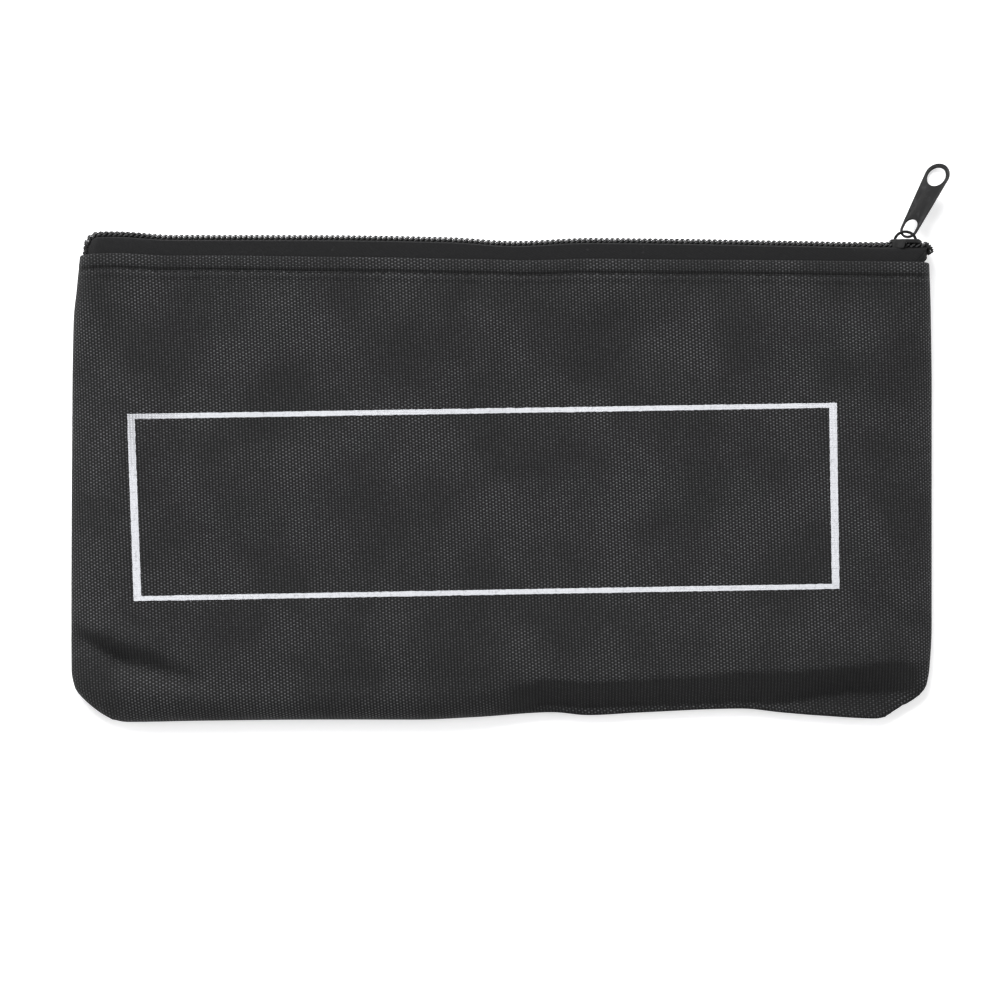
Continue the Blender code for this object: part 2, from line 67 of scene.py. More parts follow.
pouch = {
    "halfWidth": 0.12022,
    "ridgeHeight": 0.0665,
    "baseDepth": 0.06648,
    "ridgeWave": 0.00105,
    "baseWave": 0.0017,
    # (place across the half width, height as a share of the wave)
    "ridgeShares": ((-1, 1.5), (-0.9, 1.9), (-0.76, 1.05), (-0.4, 0.95), (-0.12, 0.4), (0.03, -0.6),
                    (0.2, 0.2), (0.4, 0), (0.65, -0.5), (0.9, -0.95), (1, -0.95)),
    "baseShares": ((-1, -1), (-0.86, -1), (-0.7, -0.8), (-0.38, -0.6), (-0.2, -0.62), (-0.06, -0.2), (0.12, 0.6),
                   (0.2, 0.12), (0.32, 0.55), (0.56, 1.2), (0.65, 0.57), (0.74, 0.05), (0.88, -0.45), (1, -0.45)),
    # (height up the panel, inset as a share of the half width)
    "leftInset": ((0, 0.094), (0.019, 0.064), (0.044, 0.0315), (0.07, 0.009), (0.108, 0.0005), (0.18, 0),
                  (0.68, 0.0022), (0.86, 0.0065), (0.93, 0.0145), (1, 0.0225)),
    "rightInset": ((0, 0.108), (0.012, 0.09), (0.038, 0.05), (0.052, 0.026), (0.07, 0.0125), (0.11, 0.005),
                   (0.2, 0), (0.7, 0), (0.9, 0.004), (1, 0.008)),
    # (place across the half width, how far the cloth's hem has slipped below the CAD's)
    "hemSlip": ((-1, 0.0014), (-0.92, 0.0013), (-0.65, 0.0010), (-0.4, 0.0013), (-0.12, 0.0013), (0, 0.0006),
                (0.14, 0.0010), (0.36, 0.0011), (0.62, 0.0008), (0.85, 0.0006), (1, 0.0007)),
    "cornerLift": 0.0004,
    "cornerLiftSpan": (0.1045, 0.1085),
    "cornerRound": 0.0002,
    "cornerRoundSpan": (0.1055, 0.1090),
    "cornerRoundHeight": 0.003,
    "cornerTuck": 0.0001,
    "cornerTuckReach": 0.0028,
    "bodyRise": 0.0104,
    "baseSeamRise": 0.0032,
    "topEdgeRadius": 0.0050,
    "sideEdgeRadius": 0.0220,
    "baseEdgeRadius": 0.0120,
    "edgeChangeSpan": 0.0450,
    "clothThickness": 0.0004,
    "foldGap": 0.0003,
    "turnedHem": 0.0060,
    "seamGap": 0.00012,
    "seamAllowance": 0.0050,
    # the allowance is clipped round the base corners: corner's place, and from and to which distance
    "clipAt": (0.1130, -0.0620),
    "clipSpan": (0.0105, 0.024),
}

chain = {
    "pitch": 0.0015,
    "height": 0.0017,
    "reach": 0.0030,
    "headOverlap": 0.0007,
    "wireRadius": 0.00027,
    "cordRadius": 0.0004,
    "tapeThickness": 0.00035,
    "tapeGap": 0.0003,
    "tapeHalfWidth": 0.0039,
    "tapeInnerEdge": 0.0003,
    "tapeTail": 0.0070,
    "tapeSeat": -0.0003,
    "rise": 0.0048,
    "leftInset": 0.00462,
    "rightInset": 0.0008,
    "leftCurl": 0.0036,
    "rightCurl": 0.0015,
    "leftDrop": 0.0034,
    "leftFall": 0.0021,
    "rightDrop": 0.0016,
    "rightFall": 0.0007,
    "curlEnd": 0.94,
    # how far the chain leans towards the back between its end and the slider
    "lean": 0.1,
    "leanFrom": (-0.103, -0.094),
    "leanTo": (0.094, 0.1055),
    "parting": 0.0014,
    "partingStart": -0.3,
    "partingFull": 0.04,
    "endParting": 0.25,
    "sliderInset": 0.00762,
    "sliderLength": 0.0086,
}

hemThickness = 2 * pouch["clothThickness"] + pouch["foldGap"]
wallDepth = hemThickness + chain["tapeGap"] + chain["tapeThickness"] / 2
zipCentre = chain["tapeHalfWidth"] + chain["tapeThickness"] + chain["tapeGap"] + hemThickness
panelHeight = pouch["ridgeHeight"] - chain["rise"] + pouch["baseDepth"]
leftZipEnd = chain["leftInset"] - pouch["halfWidth"]
rightZipEnd = pouch["halfWidth"] - chain["rightInset"]
sliderPlace = pouch["halfWidth"] - chain["sliderInset"]
edgeColumn = 0.8


# Shape of the pouch: the CAD's, with its hem and base corners as the cloth hangs

# Slope of the curve through a table at this row: level where the values turn back.
def rowSlope(table, row):
    rises = [(high - low) / (after - before) for (before, low), (after, high)
             in zip(table[max(0, row - 1):row + 1], table[max(1, row):row + 2])]
    if rises[0] * rises[-1] <= 0:
        return 0
    return 2 * rises[0] * rises[-1] / (rises[0] + rises[-1])


# The value at a place in a table of (place, value), on a smooth curve through its rows.
def along(table, place):
    for row, ((before, low), (after, high)) in enumerate(zip(table, table[1:])):
        if place <= after:
            span = after - before
            step = min(1, max(0, (place - before) / span))
            ends = rowSlope(table, row) * (1 - step) - rowSlope(table, row + 1) * step
            return low + (high - low) * eased(step, 0, 1) + span * step * (1 - step) * ends
    return table[-1][1]


def ramped(value, start, end):
    return min(1, max(0, (value - start) / (end - start)))


def eased(value, start, end):
    step = ramped(value, start, end)
    return step * step * (3 - 2 * step)


# Height of a quarter circle at this depth from its foot, as a share of its radius.
def arcRise(depth, radius):
    left = 1 - min(1, max(0, depth / radius))
    return math.sqrt(1 - left * left)


def ridgeAt(x):
    return pouch["ridgeHeight"] + pouch["ridgeWave"] * along(pouch["ridgeShares"], x / pouch["halfWidth"])


def hemAt(x):
    return ridgeAt(x) - chain["rise"] - along(pouch["hemSlip"], x / pouch["halfWidth"])


def baseAt(x):
    return pouch["baseWave"] * along(pouch["baseShares"], x / pouch["halfWidth"]) - pouch["baseDepth"]


# How the front panel lies, read off the photograph
lie = {
    # flattened lip along the base, right of the middle: (x, width) and (x, where the slope above it ends)
    "lipWidth": ((-0.01, 0.0004), (0.016, 0.0024), (0.055, 0.0017), (0.075, 0.0021), (0.088, 0.005),
                 (0.1, 0.0072), (0.112, 0.0068), (0.12, 0.005)),
    "slopeEnd": ((-0.01, 0.0075), (0.016, 0.0092), (0.057, 0.0098), (0.077, 0.0115), (0.097, 0.0145),
                 (0.11, 0.016), (0.12, 0.016)),
    "lipRise": 0.11,
    "baseTurn": 0.0085,
    "lipEdge": 0.0008,
    "crease": 0.95,
    "lipStart": (-0.012, 0.022),
    # (from x, from y, to x, to y, half width, height) of each soft fold, in millimetres
    "folds": ((-4.2, 62, -2.8, 22, 3.6, 1.0), (2.5, 60, 4.5, 30, 4.5, -0.4), (24, 22, 38, 44, 10, -0.8),
              (54, 58, 60, 26, 10, 0.6), (-119, -44, -106, -51.5, 2.2, -2.2), (-106, -51.5, -86, -57, 3.2, -1.5),
              (-112, -41.5, -96, -47, 3.2, 1.2), (-106, -59, -88, -62, 3, 0.6), (-60, 58, -68, 24, 6, 0.7),
              (-98, 54, -113, 30, 6, -0.6), (-106, 8, -113, -28, 6, 0.5), (-40, -44, 6, -52, 7, 0.6),
              (-72, -58, -20, -56, 5, -0.5), (72, 44, 108, 30, 8, 0.6), (96, -34, 118, -44, 4, -0.7),
              (104, 52, 112, 20, 5, 0.5), (20, -42, 70, -46, 6, 0.45), (-20, 12, 10, -24, 14, -0.6),
              (-104, 60, -84, 52, 6, -0.4), (-30, 61, -27.5, 42, 3.2, 0.6), (30, 60, 26, 40, 6, -0.35)),
    # how far from the edges, and below the hem, the cloth comes to lie free
    "freeEdge": (0, 0.014),
    "freeHem": (0.005, 0.02),
    "swell": 0.00055,
    "swellScale": (24, 31.2, 2.4),
    "ripple": 0.0001,
    "rippleScale": (120, 120, 12),
    "wander": 1.3,
    "wanderScale": (60, 60, 60),
    # small puckers along the seams, and others under the hem
    "pucker": 0.00016,
    "puckerPitch": 0.0066,
    "puckerRise": (0, 0.002),
    "puckerFall": (0.003, 0.011),
    "puckerHem": (0.004, 0.012),
    "underShare": 0.6,
    "underRise": (0.0042, 0.007),
    "underFall": (0.008, 0.022),
    "stitchLine": 0.0042,
    "stitchGroove": 0.0006,
    "grooveWidth": 0.00062,
    "hemPuff": 0.0002,
    "hemStep": 0.00022,
    "hemStepSpan": (0.0054, 0.007),
}


# Share of the full thickness at this height above the base.
def baseProfile(side, x, height, depth):
    if side == back:
        return arcRise(height - depth, pouch["baseEdgeRadius"] - depth)
    rounded = arcRise(height - depth, lie["baseTurn"] - depth)
    start, end = along(lie["lipWidth"], x), along(lie["slopeEnd"], x)
    slope = lie["crease"] * ramped(height, start, end) + (1 - lie["crease"]) * eased(height, start, end)
    lip = lie["lipRise"] * arcRise(height - depth, lie["lipEdge"]) + (1 - lie["lipRise"]) * slope
    share = eased(x, *lie["lipStart"])
    return rounded + (lip - rounded) * share


# A panel's surface without creases, or a layer this deep inside it.
def smoothPoint(side, column, share, depth=0):
    down = (1 - share) * panelHeight
    lowered = eased(down, 0, pouch["edgeChangeSpan"])
    radius = pouch["topEdgeRadius"] + (pouch["sideEdgeRadius"] - pouch["topEdgeRadius"]) * lowered - depth
    left = depth - pouch["halfWidth"] * (1 - along(pouch["leftInset"], share))
    right = pouch["halfWidth"] * (1 - along(pouch["rightInset"], share)) - depth
    turn = math.pi / 2 * min(1, (1 - abs(column)) / (1 - edgeColumn))
    inset = radius * (1 - math.cos(turn))
    if column < -edgeColumn:
        x = left + inset
    elif column > edgeColumn:
        x = right - inset
    else:
        x = left + radius + (right - left - 2 * radius) * (column / edgeColumn + 1) / 2
    low = baseAt(x) + pouch["cornerLift"] * eased(abs(x), *pouch["cornerLiftSpan"])
    rounded = pouch["cornerRound"] * ramped(abs(x), *pouch["cornerRoundSpan"]) ** 2
    y = low + (hemAt(x) - low) * share + rounded * (1 - eased(share * panelHeight, 0, pouch["cornerRoundHeight"]))
    seam = zipCentre + (pouch["baseSeamRise"] - zipCentre) * lowered
    full = seam
    if side == front:
        full = 2 * zipCentre + (pouch["bodyRise"] - 2 * zipCentre) * lowered - seam
    rise = (full - pouch["seamGap"] / 2 - depth) * math.sin(turn)
    rise *= baseProfile(side, x, share * panelHeight, depth)
    return Vector((x, y, seam + side * (pouch["seamGap"] / 2 + rise)))


def foldHeight(x, y):
    total = 0
    for fromX, fromY, toX, toY, halfWidth, height in lie["folds"]:
        start = Vector((fromX, fromY)) / 1000
        run = Vector((toX, toY)) / 1000 - start
        here = Vector((x, y)) - start
        place = max(-0.4, min(1.4, here.dot(run) / run.length_squared))
        off = (here - run * place).length / (halfWidth / 1000)
        ends = eased(place, -0.4, 0.15) * (1 - eased(place, 0.85, 1.4))
        total += height / 1000 * ends * math.exp(-off * off)
    return total


def noiseAt(place, scale):
    return noise.noise(Vector([value * times for value, times in zip(place, scale)]))


# How far the cloth stands off the smooth panel here.
def lieHeight(side, column, share, point):
    down = (1 - share) * panelHeight
    fromSide = (1 - abs(column)) * pouch["halfWidth"]
    fromBase = share * panelHeight
    edge = min(fromSide, fromBase)
    here = point.x, point.y, side
    free = eased(edge, *lie["freeEdge"]) * eased(down, *lie["freeHem"])
    swell = noiseAt(here, lie["swellScale"]) * lie["swell"] + noiseAt(here, lie["rippleScale"]) * lie["ripple"]
    wander = noiseAt(here, lie["wanderScale"]) * lie["wander"]
    turns = 2 * math.pi / lie["puckerPitch"]
    pucker = math.sin(turns * (point.y if fromSide < fromBase else point.x) + wander * 2) * lie["pucker"]
    pucker *= eased(edge, *lie["puckerRise"]) * (1 - eased(edge, *lie["puckerFall"])) * eased(down, *lie["puckerHem"])
    if side == back:
        return free * abs(swell) + abs(pucker) * 0.5
    under = math.sin(turns * point.x * 0.8 + wander * 3) * lie["pucker"] * lie["underShare"]
    under *= eased(down, *lie["underRise"]) * (1 - eased(down, *lie["underFall"])) * eased(fromSide, 0, 0.01)
    groove = math.exp(-((down - lie["stitchLine"]) / lie["grooveWidth"]) ** 2)
    groove *= 0.75 + 0.25 * math.cos(2 * math.pi * point.x / hemStitch["pitch"])
    hem = lie["hemPuff"] * math.sin(math.pi * min(1, down / lie["stitchLine"])) - lie["stitchGroove"] * groove
    hem -= lie["hemStep"] * eased(down, *lie["hemStepSpan"])
    return free * (foldHeight(point.x, point.y) + swell) + pucker + under + hem * eased(fromSide, 0, 0.003)


hemStitch = {"pitch": 0.0029, "steps": 8, "radius": 0.0002, "stand": 0.00002, "depth": 0.00034, "sharpness": 6,
             "waver": 0.00018, "waverScale": (350, 1, 1)}


# Helpers for working by hand

def pick(*objs):
    if bpy.context.object and bpy.context.object.mode != "OBJECT":
        bpy.ops.object.mode_set(mode="OBJECT")
    bpy.ops.object.select_all(action="DESELECT")
    for obj in objs:
        obj.select_set(True)
    bpy.context.view_layer.objects.active = objs[0]


def addModifier(obj, kind, **values):
    modifier = obj.modifiers.new(kind.lower(), kind)
    for name, value in values.items():
        setattr(modifier, name, value)
    pick(obj)
    bpy.ops.object.modifier_apply(modifier=modifier.name)


def joined(name, objs):
    pick(*objs)
    if len(objs) > 1:
        bpy.ops.object.join()
    made = bpy.context.object
    made.name = name
    made.data.name = name
    return made


def atOrigin(obj):
    pick(obj)
    bpy.ops.object.transform_apply(location=True, rotation=True, scale=True)


# Faces turned outwards, once points nearer than the distance are merged.
def tidyNormals(obj, distance=0.000001):
    pick(obj)
    bpy.ops.object.mode_set(mode="EDIT")
    bpy.ops.mesh.select_all(action="SELECT")
    if distance:
        bpy.ops.mesh.remove_doubles(threshold=distance)
    bpy.ops.mesh.normals_make_consistent(inside=False)
    bpy.ops.object.mode_set(mode="OBJECT")


def linked(name, data):
    obj = bpy.data.objects.new(name, data)
    bpy.context.scene.collection.objects.link(obj)
    return obj


# A mesh from a curve through these outlines, with the curve's own settings.
def fromCurve(name, outlines, closed, **settings):
    curve = bpy.data.curves.new(name, "CURVE")
    for label, value in settings.items():
        setattr(curve, label, value)
    for outline in outlines:
        spline = curve.splines.new("POLY")
        spline.points.add(len(outline) - 1)
        for made, point in zip(spline.points, outline):
            made.co = (*Vector(point).to_3d(), 1)
        spline.use_cyclic_u = closed
    pick(linked(name, curve))
    bpy.ops.object.convert(target="MESH")
    return bpy.context.object


# Material, smooth shading, its body, and the node it replaces; a piece given a blend instead of a body is only left in
# place.
def finished(obj, material, body, node, angle):
    atOrigin(obj)
    obj.data.materials.clear()
    obj.data.materials.append(material)
    pick(obj)
    bpy.ops.object.shade_smooth_by_angle(angle=math.radians(angle))
    if isinstance(body, str):
        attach(obj, body)
    else:
        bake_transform(obj)
    if node:
        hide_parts(node)
    return obj


# Each index out from the middle to both ends, with the one before it.
def outwards(middle, count):
    yield from ((i, i - 1) for i in range(middle + 1, count))
    yield from ((i, i + 1) for i in range(middle - 1, -1, -1))


# Each point's place on the flat cloth: lengths along the weave from the middle column and row.
def clothLengths(points, middle):
    rows, columns = len(points), len(points[0])
    ups = [[0] * columns for row in points]
    for i in range(columns):
        ups[middle][i] = points[middle][i].y
        for j, near in outwards(middle, rows):
            step = points[j][i] - points[near][i]
            ups[j][i] = ups[near][i] + math.copysign(math.hypot(step.y, step.z), j - near)
    centre = columns // 2
    places = [[(row[centre].x, up) for up in line] for row, line in zip(points, ups)]
    for row, line in zip(points, places):
        for i, near in outwards(centre, columns):
            step = row[i] - row[near]
            line[i] = (line[near][0] + math.copysign(math.hypot(step.x, step.z), i - near), line[i][1])
    return places


# A sheet through rows of points, from a primitive grid, with its UV map in metres.
def clothGrid(name, points, lengths):
    rows, columns = len(points), len(points[0])
    bpy.ops.object.select_all(action="DESELECT")
    bpy.ops.mesh.primitive_grid_add(x_subdivisions=columns - 1, y_subdivisions=rows - 1, size=1)
    obj = bpy.context.object
    obj.name = name
    places = [(round((vert.co.x + 0.5) * (columns - 1)), round((vert.co.y + 0.5) * (rows - 1)))
              for vert in obj.data.vertices]
    for vert, (i, j) in zip(obj.data.vertices, places):
        vert.co = points[j][i]
    uv = obj.data.uv_layers[0].data
    for loop in obj.data.loops:
        i, j = places[loop.vertex_index]
        uv[loop.index].uv = lengths[j][i]
    return obj


def runLengths(line):
    total, runs = 0, [0]
    for before, after in zip(line, line[1:]):
        total += (after - before).length
        runs.append(total)
    return runs


# The panels

# the last two entries set the painted shade that dims the yarns' crowns on creases falling towards the base
panelMesh = {"columns": {front: 196, back: 130}, "rowPitch": {front: 0.00125, back: 0.0019},
             "hemPitch": 0.00035, "hemRows": 0.0084, "foldSteps": 8, "shadeSpan": (0.1, 0.45), "shadeShare": 0.8}
# lengths along the front cloth at each x and y, for laying the print's weave over the panel's
clothRuler = {}


# (height share, depth) from the base seam up the outside, over the fold and down its inside.
def panelRows(side):
    rowPitch = panelMesh["rowPitch"][side]
    heights = [pouch["baseEdgeRadius"] * (1 - math.cos(math.radians(angle))) for angle in range(0, 52, 6)]
    while heights[-1] + rowPitch < panelHeight - panelMesh["hemRows"]:
        heights.append(heights[-1] + rowPitch)
    hemSteps = round(panelMesh["hemRows"] / panelMesh["hemPitch"])
    fold = hemThickness / 2
    heights += [panelHeight - panelMesh["hemRows"] + (panelMesh["hemRows"] - fold) * i / hemSteps
                for i in range(1, hemSteps)]
    rows = [(height / panelHeight, 0) for height in heights]
    for step in range(panelMesh["foldSteps"] + 1):
        angle = math.pi * step / panelMesh["foldSteps"]
        rows.append((1 + fold * (math.sin(angle) - 1) / panelHeight, fold * (1 - math.cos(angle))))
    for step in range(1, 7):
        rows.append((1 - (fold + (pouch["turnedHem"] - fold) * step / 6) / panelHeight, hemThickness))
    return rows


def makePanel(name, side, material, node):
    rows = panelRows(side)
    count = panelMesh["columns"][side]
    columns = [2 * i / count - 1 for i in range(count + 1)]
    points = [[smoothPoint(side, column, share, depth) for column in columns] for share, depth in rows]
    middle = min(range(len(rows)), key=lambda j: abs(rows[j][0] - 0.5) + rows[j][1])
    lengths = clothLengths(points, middle)
    smooth = [[point.copy() for point in row] for row in points]
    for (share, depth), row in zip(rows, points):
        if depth < hemThickness / 2:
            for column, point in zip(columns, row):
                point.z += lieHeight(side, column, share, point) * (1 - eased(depth, 0, hemThickness / 2))
    obj = clothGrid(name, points, lengths)
    if side == front:
        clothRuler["x"] = ([point.x for point in points[middle]], [place[0] for place in lengths[middle]])
        outside = [j for j, (share, depth) in enumerate(rows) if depth == 0]
        clothRuler["y"] = ([points[j][count // 2].y for j in outside], [lengths[j][count // 2][1] for j in outside])
    # painted shade on the crowns of creases that fall towards the base
    paintCrownShade(obj, points, smooth)
    thick = obj.vertex_groups.new(name="thick")
    for vert in obj.data.vertices:
        corner = points[0][0] if vert.co.x < 0 else points[0][-1]
        away = eased((vert.co - corner).xy.length, 0, pouch["cornerTuckReach"])
        tuck = pouch["cornerTuck"] * (1 - away)
        vert.co += Vector((-math.copysign(tuck, vert.co.x), tuck, 0))
        thick.add([vert.index], away, "REPLACE")
    turnInAllowance(obj, side)
    tidyNormals(obj)
    faceOutward(obj, side)
    addModifier(obj, "SOLIDIFY", thickness=pouch["clothThickness"], offset=-1, use_even_offset=False,
                vertex_group="thick", thickness_vertex_group=0.05)
    finished(obj, material, "pouch", node, 50)
    return obj


def keyOf(point):
    return tuple(round(value, 6) for value in point)


# An attribute of painted shade for the yarns' crowns: their painted sheen is dimmed where a crease falls towards the
# base, away from the key lamp.
def paintCrownShade(obj, points, smooth):
    shine = obj.data.attributes.new("crownShadeFactor", "FLOAT", "POINT")
    nearest = {}
    for j, row in enumerate(points):
        low, high = max(0, j - 1), min(len(points) - 1, j + 1)
        for i, point in enumerate(row):
            run = points[high][i] - points[low][i]
            turned = (smooth[high][i].z - smooth[low][i].z) * (1 - eased(point.x, *lie["lipStart"]))
            fall = (run.z - turned) / max(abs(run.y), 0.00001) if run.y > 0 else 0
            nearest[keyOf(point)] = 1 - panelMesh["shadeShare"] * eased(fall, *panelMesh["shadeSpan"])
    for vert in obj.data.vertices:
        shine.data[vert.index].value = nearest.get(keyOf(vert.co), 1)


def fromClip(point):
    return math.hypot(abs(point.x) - pouch["clipAt"][0], point.y - pouch["clipAt"][1])


# Extrudes the side and base edges inwards, flat against the other panel's.
def turnInAllowance(obj, side):
    pick(obj)
    bpy.ops.object.mode_set(mode="EDIT")
    bpy.ops.mesh.select_all(action="DESELECT")
    cloth = bmesh.from_edit_mesh(obj.data)
    core = 4 * pouch["seamAllowance"]
    seamEnd = pouch["ridgeHeight"] - chain["rise"] - 1.1 * pouch["turnedHem"]
    for edge in cloth.edges:
        centre = (edge.verts[0].co + edge.verts[1].co) / 2
        if edge.is_boundary and centre.y < seamEnd and fromClip(centre) > pouch["clipSpan"][0]:
            edge.select_set(True)
    bmesh.update_edit_mesh(obj.data)
    bpy.ops.mesh.extrude_region_move()
    cloth = bmesh.from_edit_mesh(obj.data)
    for vert in cloth.verts:
        if vert.select:
            coreX = min(pouch["halfWidth"] - core, max(core - pouch["halfWidth"], vert.co.x))
            coreY = max(core - pouch["baseDepth"], vert.co.y)
            inward = Vector((coreX - vert.co.x, coreY - vert.co.y, 0)).normalized()
            vert.co += inward * pouch["seamAllowance"] * (0.1 + 0.9 * eased(fromClip(vert.co), *pouch["clipSpan"]))
    bmesh.update_edit_mesh(obj.data)
    bpy.ops.object.mode_set(mode="OBJECT")


def faceOutward(obj, side):
    middle = min(obj.data.polygons, key=lambda face: face.center.xy.length - side * face.center.z)
    if middle.normal.z * side < 0:
        obj.data.flip_normals()


# Line of the zip

lineX = np.linspace(leftZipEnd, rightZipEnd, 6000)


def curlAt(x):
    left = (leftZipEnd + chain["leftCurl"] - x) / chain["leftCurl"]
    right = (x - rightZipEnd + chain["rightCurl"]) / chain["rightCurl"]
    end = "left" if left > right else "right"
    turned = max(0, left, right)
    bend = min(1, turned / chain["curlEnd"])
    fall = max(0, (turned - chain["curlEnd"]) / (1 - chain["curlEnd"]))
    return chain[end + "Drop"] * (1 - math.sqrt(1 - bend ** 2.4)) + chain[end + "Fall"] * fall


lineY = np.array([ridgeAt(x) - chain["height"] / 2 - curlAt(x) for x in lineX])
lineRun = np.concatenate(([0], np.cumsum(np.hypot(np.diff(lineX), np.diff(lineY)))))


# A point on the zip's line, and the direction out of the zip there.
def zipFrame(run):
    reach = chain["pitch"] / 4
    places = [run - reach, run, run + reach]
    (fromX, x, toX), (fromY, y, toY) = [np.interp(places, lineRun, line).tolist() for line in (lineX, lineY)]
    tangent = Vector((toX - fromX, toY - fromY, 0)).normalized()
    return Vector((x, y, zipCentre)), Vector((-tangent.y, tangent.x, 0))


def runAt(x):
    return float(np.interp(x, lineX, lineRun))


# How far apart each half stands: wide in front of the slider's wedge, less at the sewn end.
def partingAt(x):
    length = chain["sliderLength"]
    opened = eased(x, sliderPlace + length * chain["partingStart"], sliderPlace + length * chain["partingFull"])
    closed = eased(x, sliderPlace + length / 2, rightZipEnd)
    return chain["parting"] * (opened - (1 - chain["endParting"]) * closed)


# A point of the chain's cross-section, aside from its centre and up, turned about the front coil's heel.
def leaning(centre, normal, aside, up):
    lean = chain["lean"] * eased(centre.x, *chain["leanFrom"]) * (1 - eased(centre.x, *chain["leanTo"]))
    return centre + normal * (up + lean * (aside - chain["reach"])) + Vector((0, 0, aside - lean * up))


def zipPoint(side, run, across, up):
    centre, normal = zipFrame(run)
    return leaning(centre, normal, side * (across + partingAt(centre.x)), up)


# A mesh tube along the points, made from a round-bevelled curve.
def wire(name, points, radius, resolution):
    obj = fromCurve(name, [points], False, dimensions="3D", bevel_depth=radius, bevel_resolution=resolution,
                    use_fill_caps=True)
    tidyNormals(obj)
    return obj


# A strand of thread or cord on a body; given a blend instead, it is only left in place.
def strand(name, points, radius, body="pouch", node=None):
    return finished(wire(name, points, radius, 1), sewing, body, node, 60)


coil = {
    # (across from head to heel, up, along) of one loop's points, as shares of its reach, lift and pitch
    "loop": ((0.82, 1, -0.11), (0.4, 1, -0.03), (0.07, 0.92, 0), (0, 0.4, 0), (0, -0.4, 0), (0.07, -0.92, 0),
             (0.4, -1, 0.03), (0.82, -1, 0.11), (1, -0.62, 0.2), (1, 0.62, 0.8)),
    # (place across, radius) of each row of thread, and how far it dips between the legs
    "threadRows": ((0.5, 0.00011), (0.86, 0.00011)),
    "threadDip": 0.0005,
    "cordStep": 0.0012,
}


# The run of a half's first loop, the lift of its legs, and how far across its heads and heels are.
def coilFrame(side):
    first = runAt(leftZipEnd) + chain["pitch"] * (0.5 if side == front else 1)
    radius = chain["wireRadius"]
    return first, chain["height"] / 2 - radius, radius - chain["headOverlap"], chain["reach"] - radius


def coilRoute(side, loops):
    first, lift, head, heel = coilFrame(side)
    return [zipPoint(side, first + (loop + ahead) * chain["pitch"], head + (heel - head) * across, lift * up)
            for loop in loops for across, up, ahead in coil["loop"]]


# Sewing thread that holds the coil down: over each leg, and down to the tape between them.
def threadRoute(side, loops, share, radius):
    first, lift, head, heel = coilFrame(side)
    over = lift + chain["wireRadius"] + radius * 0.4
    legStart, legEnd = coil["loop"][1], coil["loop"][0]
    lean = legEnd[2] * max(0, (share - legStart[0]) / (legEnd[0] - legStart[0]))
    steps = ((-0.2, over), (0, over + radius * 0.5), (0.2, over), (0.5, over - coil["threadDip"]))
    return [zipPoint(side, first + (loop + lean + ahead) * chain["pitch"], head + (heel - head) * share, up)
            for loop in loops for ahead, up in steps]


def loopCount(side):
    return int((lineRun[-1] - coilFrame(side)[0] - chain["pitch"] / 4) / chain["pitch"])


def cordRoute(side, start, end):
    across = (chain["reach"] - chain["headOverlap"]) / 2
    steps = max(2, round((end - start) / coil["cordStep"]))
    return [zipPoint(side, runAt(start + (end - start) * i / steps), across, 0) for i in range(steps + 1)]


tape = {"columns": 240, "lastColumn": 0.95, "endShare": 0.6, "turnShare": 1.5, "tailSteps": 5}


# Points of the tape across its width at this column, from under the coil to its hidden edge.
def tapeRow(side, column):
    flatLeft = leftZipEnd + chain["leftCurl"]
    flatRight = rightZipEnd - chain["rightCurl"]
    under = -chain["height"] / 2 - chain["tapeSeat"] - chain["tapeThickness"] / 2
    turn = chain["tapeThickness"] * tape["turnShare"]
    hem = smoothPoint(side, column, 1, wallDepth)
    endTurn = (abs(column) - edgeColumn) / (tape["lastColumn"] - edgeColumn)
    if column < -edgeColumn:
        x = flatLeft + (leftZipEnd - flatLeft) * endTurn
    elif column > edgeColumn:
        x = flatRight + (rightZipEnd - flatRight) * endTurn
    else:
        start = smoothPoint(side, -edgeColumn, 1, wallDepth).x
        end = smoothPoint(side, edgeColumn, 1, wallDepth).x
        x = flatLeft + (flatRight - flatLeft) * (hem.x - start) / (end - start)
    x = min(rightZipEnd, max(leftZipEnd, x))
    centre, normal = zipFrame(runAt(x))
    inner = chain["tapeInnerEdge"] + chain["tapeThickness"] / 2 + partingAt(x)
    reach = (chain["tapeHalfWidth"] + chain["tapeThickness"] / 2) * (1 - (1 - tape["endShare"]) * max(0, endTurn))
    roof = [(inner + (reach - 2 * turn - inner) * i / 3, under) for i in range(4)]
    for angle in (25, 50, 75):
        bend = math.radians(angle)
        roof.append((reach - 2 * turn + 2 * turn * math.sin(bend), under - turn * 0.9 * (1 - math.cos(bend))))
    line = [leaning(centre, normal, side * across, up) for across, up in roof]
    shoulder = line[-1]
    middle = Vector(((hem.x + x) / 2, (shoulder.y + hem.y) / 2, (hem.z + zipCentre + side * reach) / 2))
    line += [shoulder.lerp(middle, 0.4), shoulder.lerp(middle, 0.8), middle.lerp(hem, 0.2), middle.lerp(hem, 0.6), hem]
    tail = chain["tapeTail"] / panelHeight / tape["tailSteps"]
    return line + [smoothPoint(side, column, 1 - tail * (i + 1), wallDepth) for i in range(tape["tailSteps"])]


# part is whole, band (what shows) or tail (what is sewn in behind the hem).
def makeTape(name, side, columns, part):
    rows = list(zip(*[tapeRow(side, column) for column in columns]))
    hemRow = len(rows) - 1 - tape["tailSteps"]
    grid = {"whole": rows, "band": rows[:hemRow + 2], "tail": rows[hemRow:]}[part]
    middle = len(columns) // 2
    across = runLengths(grid[0])
    up = runLengths([row[middle] for row in grid])
    obj = clothGrid(name, grid, [[(run, rise) for run in across] for rise in up])
    tidyNormals(obj, 0)
    addModifier(obj, "SOLIDIFY", thickness=chain["tapeThickness"], offset=0, use_even_offset=False)
    return obj


# Node groups

